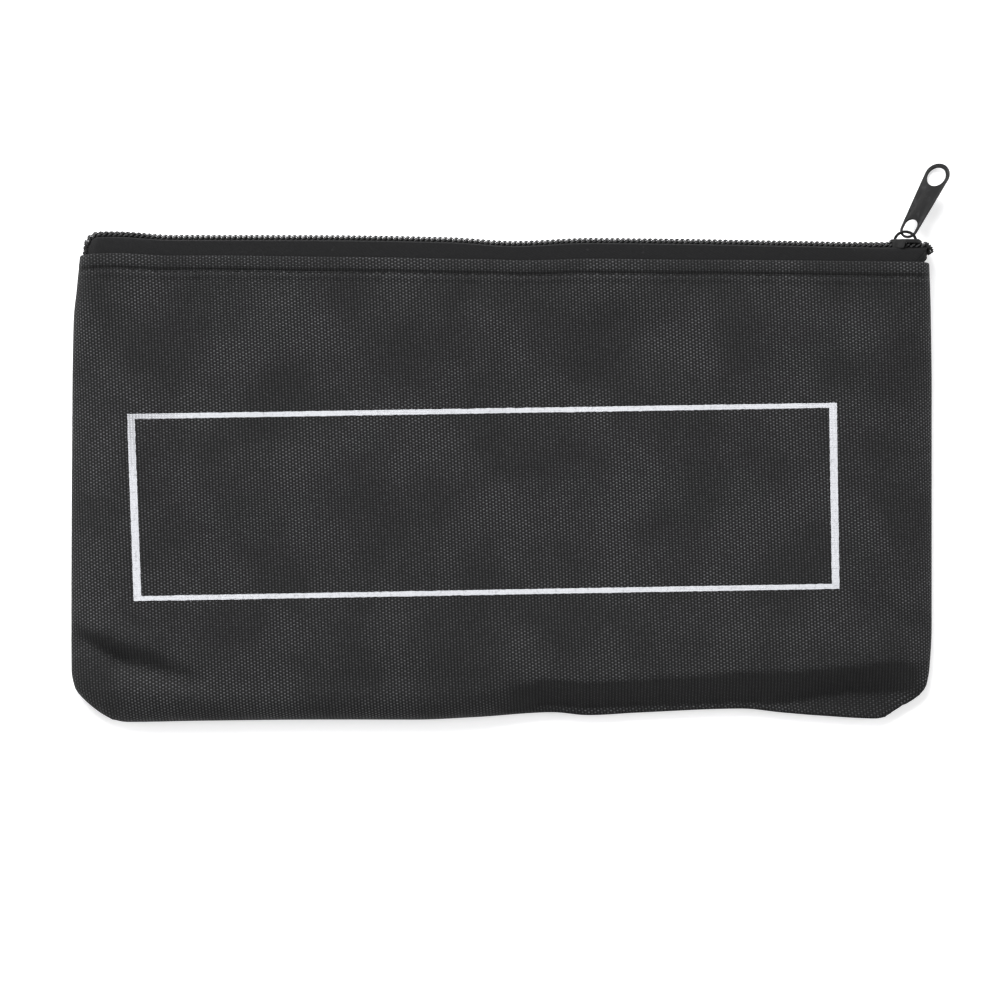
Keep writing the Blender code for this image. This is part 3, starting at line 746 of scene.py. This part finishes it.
def newGroup(name, inputs, outputs):
    group = bpy.data.node_groups.new(name, "ShaderNodeTree")
    for label, kind, value in inputs:
        socket = group.interface.new_socket(label, in_out="INPUT", socket_type="NodeSocket" + kind)
        if value is not None:
            socket.default_value = value
    for label, kind in outputs:
        group.interface.new_socket(label, in_out="OUTPUT", socket_type="NodeSocket" + kind)
    return group, group.nodes.new("NodeGroupInput"), group.nodes.new("NodeGroupOutput")


# Sets a socket, or links an output to it.
def put(tree, target, value):
    if isinstance(value, bpy.types.NodeSocket):
        tree.links.new(value, target)
    elif isinstance(value, (tuple, list)) and target.type == "RGBA":
        target.default_value = (*value, 1) if len(value) == 3 else value
    else:
        target.default_value = value


# A new node with its settings, and its inputs set or linked.
def newNode(tree, kind, given, **settings):
    node = tree.nodes.new("ShaderNode" + kind)
    for label, value in settings.items():
        setattr(node, label, value)
    for label, value in given.items():
        put(tree, node.inputs[label], value)
    return node


def maths(tree, operation, *values, clamp=False):
    return newNode(tree, "Math", dict(enumerate(values)), operation=operation, use_clamp=clamp).outputs[0]


def mixed(tree, share, first, second):
    return newNode(tree, "Mix", {0: share, 6: first, 7: second}, data_type="RGBA").outputs[2]


def ranged(tree, value, low, high, newLow, newHigh, curve="SMOOTHSTEP"):
    given = dict(enumerate((value, low, high, newLow, newHigh)))
    return newNode(tree, "MapRange", given, interpolation_type=curve).outputs[0]


def noiseValue(tree, vector, scale, detail=2, roughness=0.5):
    given = {"Vector": vector, "Scale": scale, "Detail": detail, "Roughness": roughness}
    return newNode(tree, "TexNoise", given).outputs["Fac"]


def compared(tree, operation, vector, other):
    return newNode(tree, "VectorMath", {0: vector, 1: other}, operation=operation).outputs["Value"]


yarnShape = {"spreadScale": 260, "narrow": 1.3, "round": 0.8, "weftHeight": 0.6}


# Plain weave: warp and weft counts from two vectors per metre, and which yarn lies on top.
def makeWovenGroup():
    group, given, out = newGroup("wovenYarns", (("Vector", "Vector", None), ("Warp", "Vector", None),
                                                ("Weft", "Vector", None), ("Unevenness", "Float", 0.2)),
                                 (("Height", "Float"), ("Crown", "Float"), ("Float", "Float"), ("Tone", "Float")))
    spread = noiseValue(group, given.outputs["Vector"], yarnShape["spreadScale"], 1)
    shift = maths(group, "MULTIPLY", maths(group, "SUBTRACT", spread, 0.5), given.outputs["Unevenness"])
    warp, weft = [maths(group, "ADD", compared(group, "DOT_PRODUCT", given.outputs["Vector"], given.outputs[label]),
                        shift) for label in ("Warp", "Weft")]
    waves = [maths(group, "COSINE", maths(group, "MULTIPLY", count, math.pi)) for count in (warp, weft)]
    crossing = maths(group, "MULTIPLY", *waves)
    narrow = maths(group, "POWER", maths(group, "ABSOLUTE", waves[0]), yarnShape["narrow"])
    over, under = [maths(group, "POWER", maths(group, "MAXIMUM", maths(group, "MULTIPLY", crossing, sign), 0),
                         yarnShape["round"]) for sign in (1, -1)]
    crown = maths(group, "MULTIPLY", over, narrow)
    height = maths(group, "ADD", crown, maths(group, "MULTIPLY", under, yarnShape["weftHeight"]))
    counts = newNode(group, "CombineXYZ", {0: maths(group, "ROUND", warp), 1: maths(group, "ROUND", weft)})
    yarn = newNode(group, "TexWhiteNoise", {"Vector": counts.outputs[0]}, noise_dimensions="2D")
    for label, value in (("Height", height), ("Crown", crown), ("Float", under), ("Tone", yarn.outputs["Value"])):
        put(group, out.inputs[label], value)
    return group


# Rubbed patches and fine scratches for painted metal and nylon.
def makeWearGroup():
    group, given, out = newGroup("handlingWear", (("Vector", "Vector", None), ("Scale", "Float", 400.0)),
                                 (("Rubbed", "Float"), ("Grain", "Float")))
    patches = noiseValue(group, given.outputs["Vector"], given.outputs["Scale"], 4, 0.6)
    fine = noiseValue(group, given.outputs["Vector"], maths(group, "MULTIPLY", given.outputs["Scale"], 9), 2)
    put(group, out.inputs["Rubbed"], ranged(group, patches, 0.52, 0.72, 0, 1))
    put(group, out.inputs["Grain"], fine)
    return group


def newMaterial(name, **constants):
    material = bpy.data.materials.new(name)
    material.use_nodes = True
    tree = material.node_tree
    shader = tree.nodes["Principled BSDF"]
    for label, value in constants.items():
        put(tree, shader.inputs[label.replace("_", " ")], value)
    return material, tree, shader


def place(tree, group, **values):
    return newNode(tree, "Group", values, node_tree=group)


def uvOf(tree):
    return newNode(tree, "UVMap", {}).outputs["UV"]


def objectPlace(tree):
    return newNode(tree, "TexCoord", {}).outputs["Object"]


# The look of a surface: its colour, its roughness and the height that bumps it.
def dress(tree, shader, colour, roughness, height, distance):
    put(tree, shader.inputs["Base Color"], colour)
    put(tree, shader.inputs["Roughness"], roughness)
    bump = newNode(tree, "Bump", {"Height": height, "Distance": distance, "Strength": 1})
    put(tree, shader.inputs["Normal"], bump.outputs["Normal"])


weave = {
    "warp": (1126.3, 53.4, 0),
    "weft": (-32.3, 2083.6, 0),
    # the gap colour is painted shade between the yarns, and the warp colour is the yarn's tone with a painted sheen on
    # its crowns
    "gapShade": (0.0068, 0.0068, 0.007),
    "weftColour": (0.027, 0.027, 0.0278),
    "warpSheenColour": (0.155, 0.157, 0.163),
    "bump": 0.00022,
    "patchScale": 42,
    "tone": (0.7, 1.15),
    "rough": (0.75, 0.4),
}


# Dark gaps between the yarns as painted shade, duller weft, and warp crowns lighter with a painted sheen, whose
# strength changes from patch to patch.
def wovenColour(tree, yarns, vector):
    patches = ranged(tree, noiseValue(tree, vector, weave["patchScale"]), 0.35, 0.68, 0.45, 1)
    base = mixed(tree, yarns.outputs["Float"], weave["gapShade"], weave["weftColour"])
    shine = maths(tree, "MULTIPLY", yarns.outputs["Crown"], patches)
    toned = maths(tree, "MULTIPLY", shine, ranged(tree, yarns.outputs["Tone"], 0, 1, *weave["tone"], "LINEAR"))
    # painted shade: the crowns' painted sheen is dimmed where a crease falls towards the base, away from the key lamp
    slopeShade = newNode(tree, "Attribute", {}, attribute_name="crownShadeFactor")
    toned = maths(tree, "MULTIPLY", toned, slopeShade.outputs["Fac"])
    return mixed(tree, toned, base, weave["warpSheenColour"])


def panelMaterial(woven):
    material, tree, shader = newMaterial("pouchFabric", Sheen_Weight=0.03, Sheen_Roughness=0.45,
                                         Specular_IOR_Level=0.1)
    vector = uvOf(tree)
    yarns = place(tree, woven, Vector=vector, Warp=weave["warp"], Weft=weave["weft"])
    roughness = ranged(tree, yarns.outputs["Crown"], 0, 1, *weave["rough"])
    dress(tree, shader, wovenColour(tree, yarns, vector), roughness, yarns.outputs["Height"], weave["bump"])
    return material


ink = {"pale": (0.72, 0.73, 0.77), "worn": (0.16, 0.16, 0.17), "thinCorner": (-0.104, 0.018, 0), "thinReach": 0.022,
       "speckScale": 900, "specks": 0.4, "rough": (0.7, 0.5)}


def inkMaterial(woven):
    material, tree, shader = newMaterial("printInk", Specular_IOR_Level=0.3)
    vector = uvOf(tree)
    yarns = place(tree, woven, Vector=vector, Warp=weave["warp"], Weft=weave["weft"])
    height = yarns.outputs["Height"]
    away = compared(tree, "DISTANCE", vector, ink["thinCorner"])
    specks = ranged(tree, noiseValue(tree, vector, ink["speckScale"], 3), 0.5, 0.75, 0, ink["specks"])
    thin = maths(tree, "ADD", ranged(tree, away, 0, ink["thinReach"], 0.5, 0), specks)
    gaps = ranged(tree, height, 0.1, 0.8, 1, 0)
    worn = maths(tree, "MULTIPLY", gaps, maths(tree, "ADD", thin, 0.12), clamp=True)
    colour = mixed(tree, worn, ink["pale"], ink["worn"])
    dress(tree, shader, colour, ranged(tree, height, 0, 1, *ink["rough"]), height, weave["bump"] * 0.6)
    return material


ribs = {"warp": (2600, 0, 0), "weft": (900, 3400, 0), "dark": (0.0085, 0.0085, 0.009),
        "light": (0.03, 0.03, 0.031), "bump": 0.00007, "fuzzScale": 1500, "lintScale": 420, "rough": (0.75, 0.95)}


def tapeMaterial(woven):
    material, tree, shader = newMaterial("zipTape", Sheen_Weight=0.05, Specular_IOR_Level=0.15)
    yarns = place(tree, woven, Vector=uvOf(tree), Warp=ribs["warp"], Weft=ribs["weft"], Unevenness=0.3)
    height = yarns.outputs["Height"]
    fuzz = noiseValue(tree, objectPlace(tree), ribs["fuzzScale"], 3)
    lint = ranged(tree, noiseValue(tree, objectPlace(tree), ribs["lintScale"]), 0.7, 0.78, 0, 0.5)
    share = maths(tree, "ADD", maths(tree, "MULTIPLY", height, fuzz), lint, clamp=True)
    roughness = ranged(tree, fuzz, 0.3, 0.7, *ribs["rough"])
    colour = mixed(tree, share, ribs["dark"], ribs["light"])
    dress(tree, shader, colour, roughness, maths(tree, "ADD", height, fuzz), ribs["bump"])
    return material


nylon = {"dark": (0.011, 0.011, 0.0115), "light": (0.035, 0.035, 0.037), "grain": 0.00001, "wearScale": 700.0,
         "rough": (0.28, 0.45)}


def nylonMaterial(wear):
    material, tree, shader = newMaterial("coilNylon", Specular_IOR_Level=0.32)
    marks = place(tree, wear, Vector=objectPlace(tree), Scale=nylon["wearScale"])
    colour = mixed(tree, marks.outputs["Rubbed"], nylon["dark"], nylon["light"])
    grain = marks.outputs["Grain"]
    dress(tree, shader, colour, ranged(tree, grain, 0.3, 0.7, *nylon["rough"]), grain, nylon["grain"])
    return material


enamel = {"coat": (0.0115, 0.0115, 0.0118), "rubbed": (0.04, 0.04, 0.042), "grain": 0.000012, "wearScale": 500.0,
          "rough": (0.3, 0.45)}


def enamelMaterial(wear):
    material, tree, shader = newMaterial("blackEnamel", Specular_IOR_Level=0.12)
    marks = place(tree, wear, Vector=objectPlace(tree), Scale=enamel["wearScale"])
    rubbed, grain = marks.outputs["Rubbed"], marks.outputs["Grain"]
    colour = mixed(tree, maths(tree, "MULTIPLY", rubbed, 0.6), enamel["coat"], enamel["rubbed"])
    put(tree, shader.inputs["Metallic"], maths(tree, "MULTIPLY", rubbed, 0.25))
    dress(tree, shader, colour, ranged(tree, grain, 0.3, 0.7, *enamel["rough"]), grain, enamel["grain"])
    return material


thread = {"dark": (0.004, 0.004, 0.0042), "light": (0.018, 0.018, 0.0185), "plies": 3200, "bump": 0.00004,
          "rough": (0.8, 0.55)}


# Plies wound along X, as most of the sewing runs.
def threadMaterial():
    material, tree, shader = newMaterial("sewingThread", Specular_IOR_Level=0.2)
    run = compared(tree, "DOT_PRODUCT", objectPlace(tree), (1, 0.6, 0.6))
    twist = maths(tree, "SINE", maths(tree, "MULTIPLY", run, thread["plies"] * math.pi))
    share = ranged(tree, twist, -1, 1, 0, 1)
    colour = mixed(tree, share, thread["dark"], thread["light"])
    dress(tree, shader, colour, ranged(tree, twist, -1, 1, *thread["rough"]), share, thread["bump"])
    return material


woven = makeWovenGroup()
wear = makeWearGroup()
fabric = panelMaterial(woven)
printInk = inkMaterial(woven)
tapeCloth = tapeMaterial(woven)
coilNylon = nylonMaterial(wear)
blackEnamel = enamelMaterial(wear)
sewing = threadMaterial()
print("materials made")

frontPanel = makePanel("front_panel_cloth", front, fabric, "front_panel")
backPanel = makePanel("back_panel_cloth", back, fabric, "back_panel")
print("panels made:", len(frontPanel.data.polygons), len(backPanel.data.polygons))


# The zip halves. The back one stays with the pouch, and the front one is made as a left and a right piece that are
# left in place.

mouth = {"leftHeld": -0.1025, "leftFree": -0.064, "rightHeld": 0.1165, "rightFree": 0.086,
         "axis": (0.061179, 0.009725)}


def halfBlend(end):
    held, free = mouth[end + "Held"], mouth[end + "Free"]
    return ("pouch", "front_zip_half", (held, *mouth["axis"]), (free, *mouth["axis"]))


def makeZipHalf(side, word):
    count = loopCount(side)
    columns = [tape["lastColumn"] * (2 * i / tape["columns"] - 1) for i in range(tape["columns"] + 1)]
    half = tape["columns"] // 2
    parts = [("", range(count), columns, leftZipEnd, rightZipEnd, "pouch")]
    if side == front:
        middle = count // 2
        join = zipFrame(runAt(leftZipEnd) + chain["pitch"] * (middle + 0.3))[0].x
        parts = [("_left", range(middle + 1), columns[:half + 1], leftZipEnd, join, halfBlend("left")),
                 ("_right", range(middle, count), columns[half:], join, rightZipEnd, halfBlend("right"))]
    for tag, loops, some, start, end, body in parts:
        turns = wire(f"zip_coil_{word}{tag}_nylon", coilRoute(side, loops), chain["wireRadius"], 1)
        finished(turns, coilNylon, body, "zip_coil_" + word, 60)
        core = cordRoute(side, start, end)
        strand(f"zip_cord_{word}{tag}_core", core, chain["cordRadius"], body, "zip_cord_" + word)
        rows = [wire(f"row{i}", threadRoute(side, loops, share, radius), radius, 0)
                for i, (share, radius) in enumerate(coil["threadRows"])]
        finished(joined(f"zip_sewing_{word}{tag}", rows), sewing, body, None, 60)
        strip = makeTape(f"zip_tape_{word}{tag}_band", side, some, "whole" if side == back else "band")
        finished(strip, tapeCloth, body, "zip_tape_" + word, 50)
    if side == front:
        tail = makeTape("zip_tape_front_tail", side, columns, "tail")
        finished(tail, tapeCloth, "pouch", "zip_tape_front", 50)


tack = {"turns": 6, "steps": 18, "radius": 0.0002, "across": 0.0031, "up": 0.00098, "leftRun": 0.0034,
        "rightRun": 0.003, "endGap": 0.0003, "uneven": 0.08}


# Thread wound round both halves of the chain to close its sewn end.
def barTack(name, start, end):
    count = tack["turns"] * tack["steps"]
    points = []
    for i in range(count + 1):
        turn = 2 * math.pi * i / tack["steps"]
        centre, normal = zipFrame(start + (end - start) * i / count)
        uneven = 1 + tack["uneven"] * noiseAt((i, start, 0), (0.3, 1000, 1))
        aside = Vector((0, 0, (tack["across"] + partingAt(centre.x)) * math.cos(turn)))
        points.append(centre + (normal * tack["up"] * math.sin(turn) + aside) * uneven)
    return strand(name, points, tack["radius"])


for side, word in ((back, "back"), (front, "front")):
    makeZipHalf(side, word)
barTack("bar_tack_left", lineRun[0] + tack["endGap"], lineRun[0] + tack["leftRun"])
barTack("bar_tack_right", lineRun[-1] - tack["rightRun"], lineRun[-1] - tack["endGap"])
print("zip made")


# Sewing along the hems

# One strand that dips into the cloth at each end of every stitch.
def hemSewing(side, word):
    share = 1 - lie["stitchLine"] / panelHeight
    columns = np.linspace(-0.96, 0.96, 1200)
    places = [smoothPoint(side, column, share).x for column in columns]
    steps = round((places[-1] - places[0]) / hemStitch["pitch"]) * hemStitch["steps"]
    points = []
    for i in range(steps + 1):
        x = places[0] + (places[-1] - places[0]) * i / steps
        column = float(np.interp(x, places, columns))
        point = smoothPoint(side, column, share)
        point.z += lieHeight(side, column, share, point)
        dip = abs(math.cos(math.pi * i / hemStitch["steps"])) ** hemStitch["sharpness"]
        stand = hemStitch["stand"] if side == front else -hemStitch["radius"]
        point.z += side * (stand - hemStitch["depth"] * dip)
        point.y += hemStitch["waver"] * noiseAt((x, side, 0), hemStitch["waverScale"])
        points.append(point)
    return strand("hem_sewing_" + word, points, hemStitch["radius"])


frontSewing = hemSewing(front, "front")
backSewing = hemSewing(back, "back")
print("hems sewn")


# The printed border

border = {
    # corners at the top left, top right, bottom right and bottom left
    "outer": ((-0.1040, 0.01775), (0.0931, 0.02085), (0.0939, -0.0308), (-0.1022, -0.0342)),
    "side": 0.0021,
    "top": 0.0014,
    "cell": 0.0006,
    "rows": 4,
    "ragged": 0.00012,
    "raggedScale": 900,
    "lift": 0.00004,
    "thickness": 0.00003,
}


# Rows of points round the border's four sides, from its outer edge in, and back to the first corner.
def borderStrip():
    outer = [Vector((x, y, cadBox[1].z + 0.01)) for x, y in border["outer"]]
    inner = [corner + Vector((-math.copysign(border["side"], corner.x), -math.copysign(border["top"], corner.y), 0))
             for corner in outer]
    rows = [[] for _ in range(border["rows"] + 1)]
    for i in range(4):
        j = (i + 1) % 4
        steps = round((outer[j] - outer[i]).length / border["cell"])
        for step in range(steps + (i == 3)):
            ends = outer[i].lerp(outer[j], step / steps), inner[i].lerp(inner[j], step / steps)
            for k, row in enumerate(rows):
                point = ends[0].lerp(ends[1], k / border["rows"])
                spot = Vector((point.x, point.y, 0)) * border["raggedScale"]
                point.x += border["ragged"] * noise.noise(spot)
                point.y += border["ragged"] * noise.noise(spot + Vector((0, 0, 9)))
                row.append(point)
    return rows


def makeBorder():
    rows = borderStrip()
    obj = clothGrid("print_border", rows, [[point.xy for point in row] for row in rows])
    tidyNormals(obj, 0.00001)
    if obj.data.polygons[0].normal.z < 0:
        obj.data.flip_normals()
    addModifier(obj, "SHRINKWRAP", target=frontPanel, wrap_method="PROJECT", use_project_z=True,
                use_negative_direction=True, use_positive_direction=False, offset=border["lift"])
    addModifier(obj, "SOLIDIFY", thickness=border["thickness"], offset=1)
    uv = obj.data.uv_layers[0].data
    for loop in obj.data.loops:
        point = obj.data.vertices[loop.vertex_index].co
        uv[loop.index].uv = (np.interp(point.x, *clothRuler["x"]), np.interp(point.y, *clothRuler["y"]))
    return finished(obj, printInk, "pouch", None, 60)


printBorder = makeBorder()
print("print made")


# The slider, modelled about its own centre: X along the zip, Y out of it, Z across it

slider = {
    "wall": 0.0005,
    "play": 0.0002,
    "topPlate": 0.0007,
    "bottomPlate": 0.0008,
    "bottomHalfWidth": 0.0034,
    "wideStart": -0.4,
    "wideFull": -0.02,
    "cornerSpan": 0.35,
    "topCorner": 0.3,
    "bottomCorner": 0.25,
    "wedgeHalfWidth": 0.0006,
    "wedgeLength": 0.0034,
    "wedgeReach": 0.62,
    "bridgeLength": 0.0068,
    "bridgeHeight": 0.0027,
    "bridgeRadius": 0.0004,
    "edge": 0.00022,
    "overrun": 0.001,
    "lipStart": -0.00095,
    "lipRise": 0.0016,
    "slopeLength": 0.0011,
    "slopeDrop": 0.0006,
    "outlineSteps": 20,
}

rearChannel = chain["reach"] + slider["play"]
frontChannel = rearChannel + chain["parting"]
plateUnderside = chain["height"] / 2 + slider["play"]
plateTop = plateUnderside + slider["topPlate"]
bottomPlateTop = -chain["height"] / 2 - 2 * chain["tapeGap"] - chain["tapeThickness"]
flangeFoot = -chain["height"] / 2
ridgeSlope = pouch["ridgeWave"] * 0.95 / pouch["halfWidth"]


# Both sides of a plate that widens from its rear half-width to its wide one, with its ends' corners taken off.
def sliderOutline(rear, wide, length, corner):
    half = []
    for i in range(slider["outlineSteps"] + 1):
        place = i / slider["outlineSteps"]
        x = (place - 0.5) * length
        widened = eased(x / chain["sliderLength"], slider["wideStart"], slider["wideFull"])
        width = rear + (wide - rear) * widened
        width *= 1 - corner * (1 - arcRise(min(place, 1 - place) * 2, slider["cornerSpan"]))
        half.append((x, width))
    return [(x, -width) for x, width in half] + [(x, width) for x, width in half[::-1]]


# A plate cut to these outlines, with rounded edges, from a filled 2D curve.
def plate(name, outlines, low, high, edge=0.0, standing=True):
    obj = fromCurve(name, outlines, True, dimensions="2D", fill_mode="BOTH", extrude=(high - low) / 2 - edge,
                    bevel_depth=edge, bevel_resolution=2 if edge else 0, offset=-edge)
    if standing:
        obj.matrix_world = Matrix.Translation((0, (low + high) / 2, 0)) @ Matrix.Rotation(math.pi / 2, 4, "X")
    atOrigin(obj)
    tidyNormals(obj)
    return obj


# Points along an ellipse, from one angle to another.
def roundPoints(centre, halfWidth, halfHeight, start, end, steps):
    turns = [start + (end - start) * i / steps for i in range(steps + 1)]
    return [(centre[0] + halfWidth * math.cos(turn), centre[1] + halfHeight * math.sin(turn)) for turn in turns]


def carve(obj, other, operation):
    addModifier(obj, "BOOLEAN", object=other, operation=operation, solver="EXACT")
    bpy.data.objects.remove(other)


def makeSlider():
    length = chain["sliderLength"]
    outer = sliderOutline(rearChannel + slider["wall"], frontChannel + slider["wall"], length, slider["topCorner"])
    body = plate("slider_casting", [outer], flangeFoot, plateTop, slider["edge"])
    channel = sliderOutline(rearChannel, frontChannel, length + 2 * slider["overrun"], 0)
    carve(body, plate("channel", [channel], flangeFoot - slider["overrun"], plateUnderside), "DIFFERENCE")
    low, lipY, end = flangeFoot - slider["overrun"], flangeFoot + slider["lipRise"], length / 2 + slider["overrun"]
    lipX, slopeX = slider["lipStart"], length / 2 - slider["slopeLength"]
    high, slopeY = plateTop + slider["edge"], plateTop - slider["slopeDrop"]
    reach = frontChannel + 2 * slider["wall"]
    for name, outline in (("relief", [(lipX, low), (lipX + 0.0001, flangeFoot + 0.0003), (lipX + 0.0006, lipY),
                                      (end, lipY), (end, low)]),
                          ("slope", [(slopeX, high), (slopeX, plateTop), (length / 2, slopeY), (end, slopeY),
                                     (end, high)])):
        carve(body, plate(name, [outline], -reach, reach, 0, False), "DIFFERENCE")

    lowerOutline = sliderOutline(rearChannel - 2 * slider["play"], slider["bottomHalfWidth"], length,
                                 slider["bottomCorner"])
    lower = plate("lower", [lowerOutline], bottomPlateTop - slider["bottomPlate"], bottomPlateTop, slider["edge"])
    wedgeX = length / 2 - slider["wedgeLength"] * slider["wedgeReach"]
    outline = roundPoints((wedgeX, 0), slider["wedgeLength"] / 2, slider["wedgeHalfWidth"], 0, 2 * math.pi, 24)
    wedge = plate("wedge", [outline[:-1]], bottomPlateTop - slider["bottomPlate"] / 2,
                  plateUnderside + slider["topPlate"] / 2)
    foot = plateTop - slider["topPlate"] * 0.7
    crown = plateTop + slider["bridgeHeight"] - slider["bridgeRadius"] - foot
    span = slider["bridgeLength"] / 2 - slider["bridgeRadius"]
    arch = roundPoints((0, foot), span, crown, 0, math.pi, 28)
    bridge = wire("bridge", arch, slider["bridgeRadius"], 3)
    for other in (wedge, lower, bridge):
        carve(body, other, "UNION")
    body.matrix_world = sliderMatrix()
    return finished(body, blackEnamel, "slider", "slider_body", 35)


def sliderMatrix():
    centre = zipFrame(runAt(sliderPlace))[0]
    return Matrix.Translation(centre) @ Matrix.Rotation(-ridgeSlope, 4, "Z")


tab = {
    "length": 0.0238,
    "thickness": 0.00074,
    "lowerRadius": 0.0027,
    "upperRadius": 0.00385,
    "barWidth": 0.0007,
    "lowerEye": (0.0051, 0.00195),
    "upperEye": (0.0057, 0.00285),
    "upperRim": 0.0013,
    "edge": 0.0003,
    "seat": 0.00093,
    "lean": 28,
    "dip": 8.6,
    "twist": 36,
}


def makeTab():
    bar, low, high = tab["barWidth"] / 2, tab["lowerRadius"], tab["upperRadius"]
    lowCentre, highCentre = low - bar, tab["length"] - bar - high
    taper = math.asin((high - low) / (highCentre - lowCentre))
    outline = roundPoints((0, highCentre), high, high, -taper, math.pi + taper, 40)
    outline += roundPoints((0, lowCentre), low, low, math.pi + taper, 2 * math.pi - taper, 32)
    eyeLength, eyeHalf = tab["lowerEye"]
    lowerEye = roundPoints((0, bar + eyeLength - eyeHalf), eyeHalf, eyeHalf, 0, math.pi, 20)
    lowerEye += roundPoints((0, bar + eyeHalf), eyeHalf, eyeHalf, math.pi, 2 * math.pi, 20)
    eyeLength, eyeHalf = tab["upperEye"]
    eyeCentre = tab["length"] - bar - tab["upperRim"] - eyeLength / 2
    upperEye = roundPoints((0, eyeCentre), eyeHalf, eyeLength / 2, 0, 2 * math.pi, 44)[:-1]
    obj = plate("tab_link", [outline, lowerEye, upperEye], -tab["thickness"] / 2, tab["thickness"] / 2, tab["edge"],
                False)
    turn = Matrix.Rotation(ridgeSlope - math.radians(tab["lean"]), 4, "Z")
    turn = turn @ Matrix.Rotation(-math.radians(tab["dip"]), 4, "X")
    turn = turn @ Matrix.Rotation(-math.radians(tab["twist"]), 4, "Y")
    obj.matrix_world = sliderMatrix() @ Matrix.Translation((0, plateTop + tab["seat"], 0)) @ turn
    return finished(obj, blackEnamel, "puller", "pull_tab", 35)


makeSlider()
makeTab()
print("slider and tab made")


# Floor, light and camera

studio = {"floorSize": 6.0, "floorColour": (0.86, 0.86, 0.87), "lift": 0.5, "domeSpan": (0.1, 0.9),
          "dome": (0.07, 0.24)}
lamps = (("keyLamp", (-0.4, 1.15, 1.1), 0.9, 31.0), ("leftLamp", (-1.3, 0.1, 0.8), 0.8, 8.0),
         ("rightLamp", (1.3, 0.0, 0.85), 0.8, 8.5))


# 1 where the backdrop itself is seen: straight, in a reflection or through a clear piece.
def seenAs(tree):
    path = newNode(tree, "LightPath", {})
    seen = maths(tree, "ADD", path.outputs["Is Camera Ray"], path.outputs["Is Glossy Ray"], clamp=True)
    return maths(tree, "ADD", seen, path.outputs["Is Transmission Ray"], clamp=True)


def makeFloor():
    bpy.ops.object.select_all(action="DESELECT")
    bpy.ops.mesh.primitive_plane_add(size=studio["floorSize"], location=(0, 0, 0))
    floor = bpy.context.object
    floor.name = "studio_floor"
    material, tree, shader = newMaterial("studioFloor", Roughness=0.9, Base_Color=studio["floorColour"],
                                         Specular_IOR_Level=0.1)
    put(tree, shader.inputs["Emission Color"], (1, 1, 1))
    put(tree, shader.inputs["Emission Strength"], maths(tree, "MULTIPLY", seenAs(tree), studio["lift"]))
    floor.data.materials.append(material)


def makeWorld():
    world = bpy.data.worlds.new("studioWorld")
    bpy.context.scene.world = world
    world.use_nodes = True
    tree = world.node_tree
    sky = tree.nodes["Background"]
    seen = seenAs(tree)
    split = newNode(tree, "SeparateXYZ", {0: newNode(tree, "TexCoord", {}).outputs["Generated"]})
    dome = ranged(tree, split.outputs["Z"], *studio["domeSpan"], *studio["dome"])
    plain = maths(tree, "MULTIPLY", maths(tree, "SUBTRACT", 1, seen), dome)
    put(tree, sky.inputs["Color"], (1, 1, 1))
    put(tree, sky.inputs["Strength"], maths(tree, "ADD", plain, seen))


def makeLamps():
    for name, place, size, power in lamps:
        light = bpy.data.lights.new(name, "AREA")
        light.shape = "SQUARE"
        light.size = size
        light.energy = power
        lamp = linked(name, light)
        lamp.location = place
        lamp.rotation_euler = (-Vector(place)).to_track_quat("-Z", "Y").to_euler()


view = {"centre": (-0.00042, -0.00613), "distance": 1.2, "width": 0.2788, "focus": 0.006, "sensor": 36}


def makeCamera():
    camera = linked("camera", bpy.data.cameras.new("camera"))
    camera.location = (*view["centre"], view["distance"])
    camera.data.sensor_width = view["sensor"]
    camera.data.lens = view["sensor"] * (view["distance"] - view["focus"]) / view["width"]
    camera.data.clip_start = 0.05
    camera.data.clip_end = 20
    bpy.context.scene.camera = camera


makeFloor()
makeWorld()
makeLamps()
makeCamera()
bpy.context.scene.view_settings.view_transform = "Standard"
print("studio made")
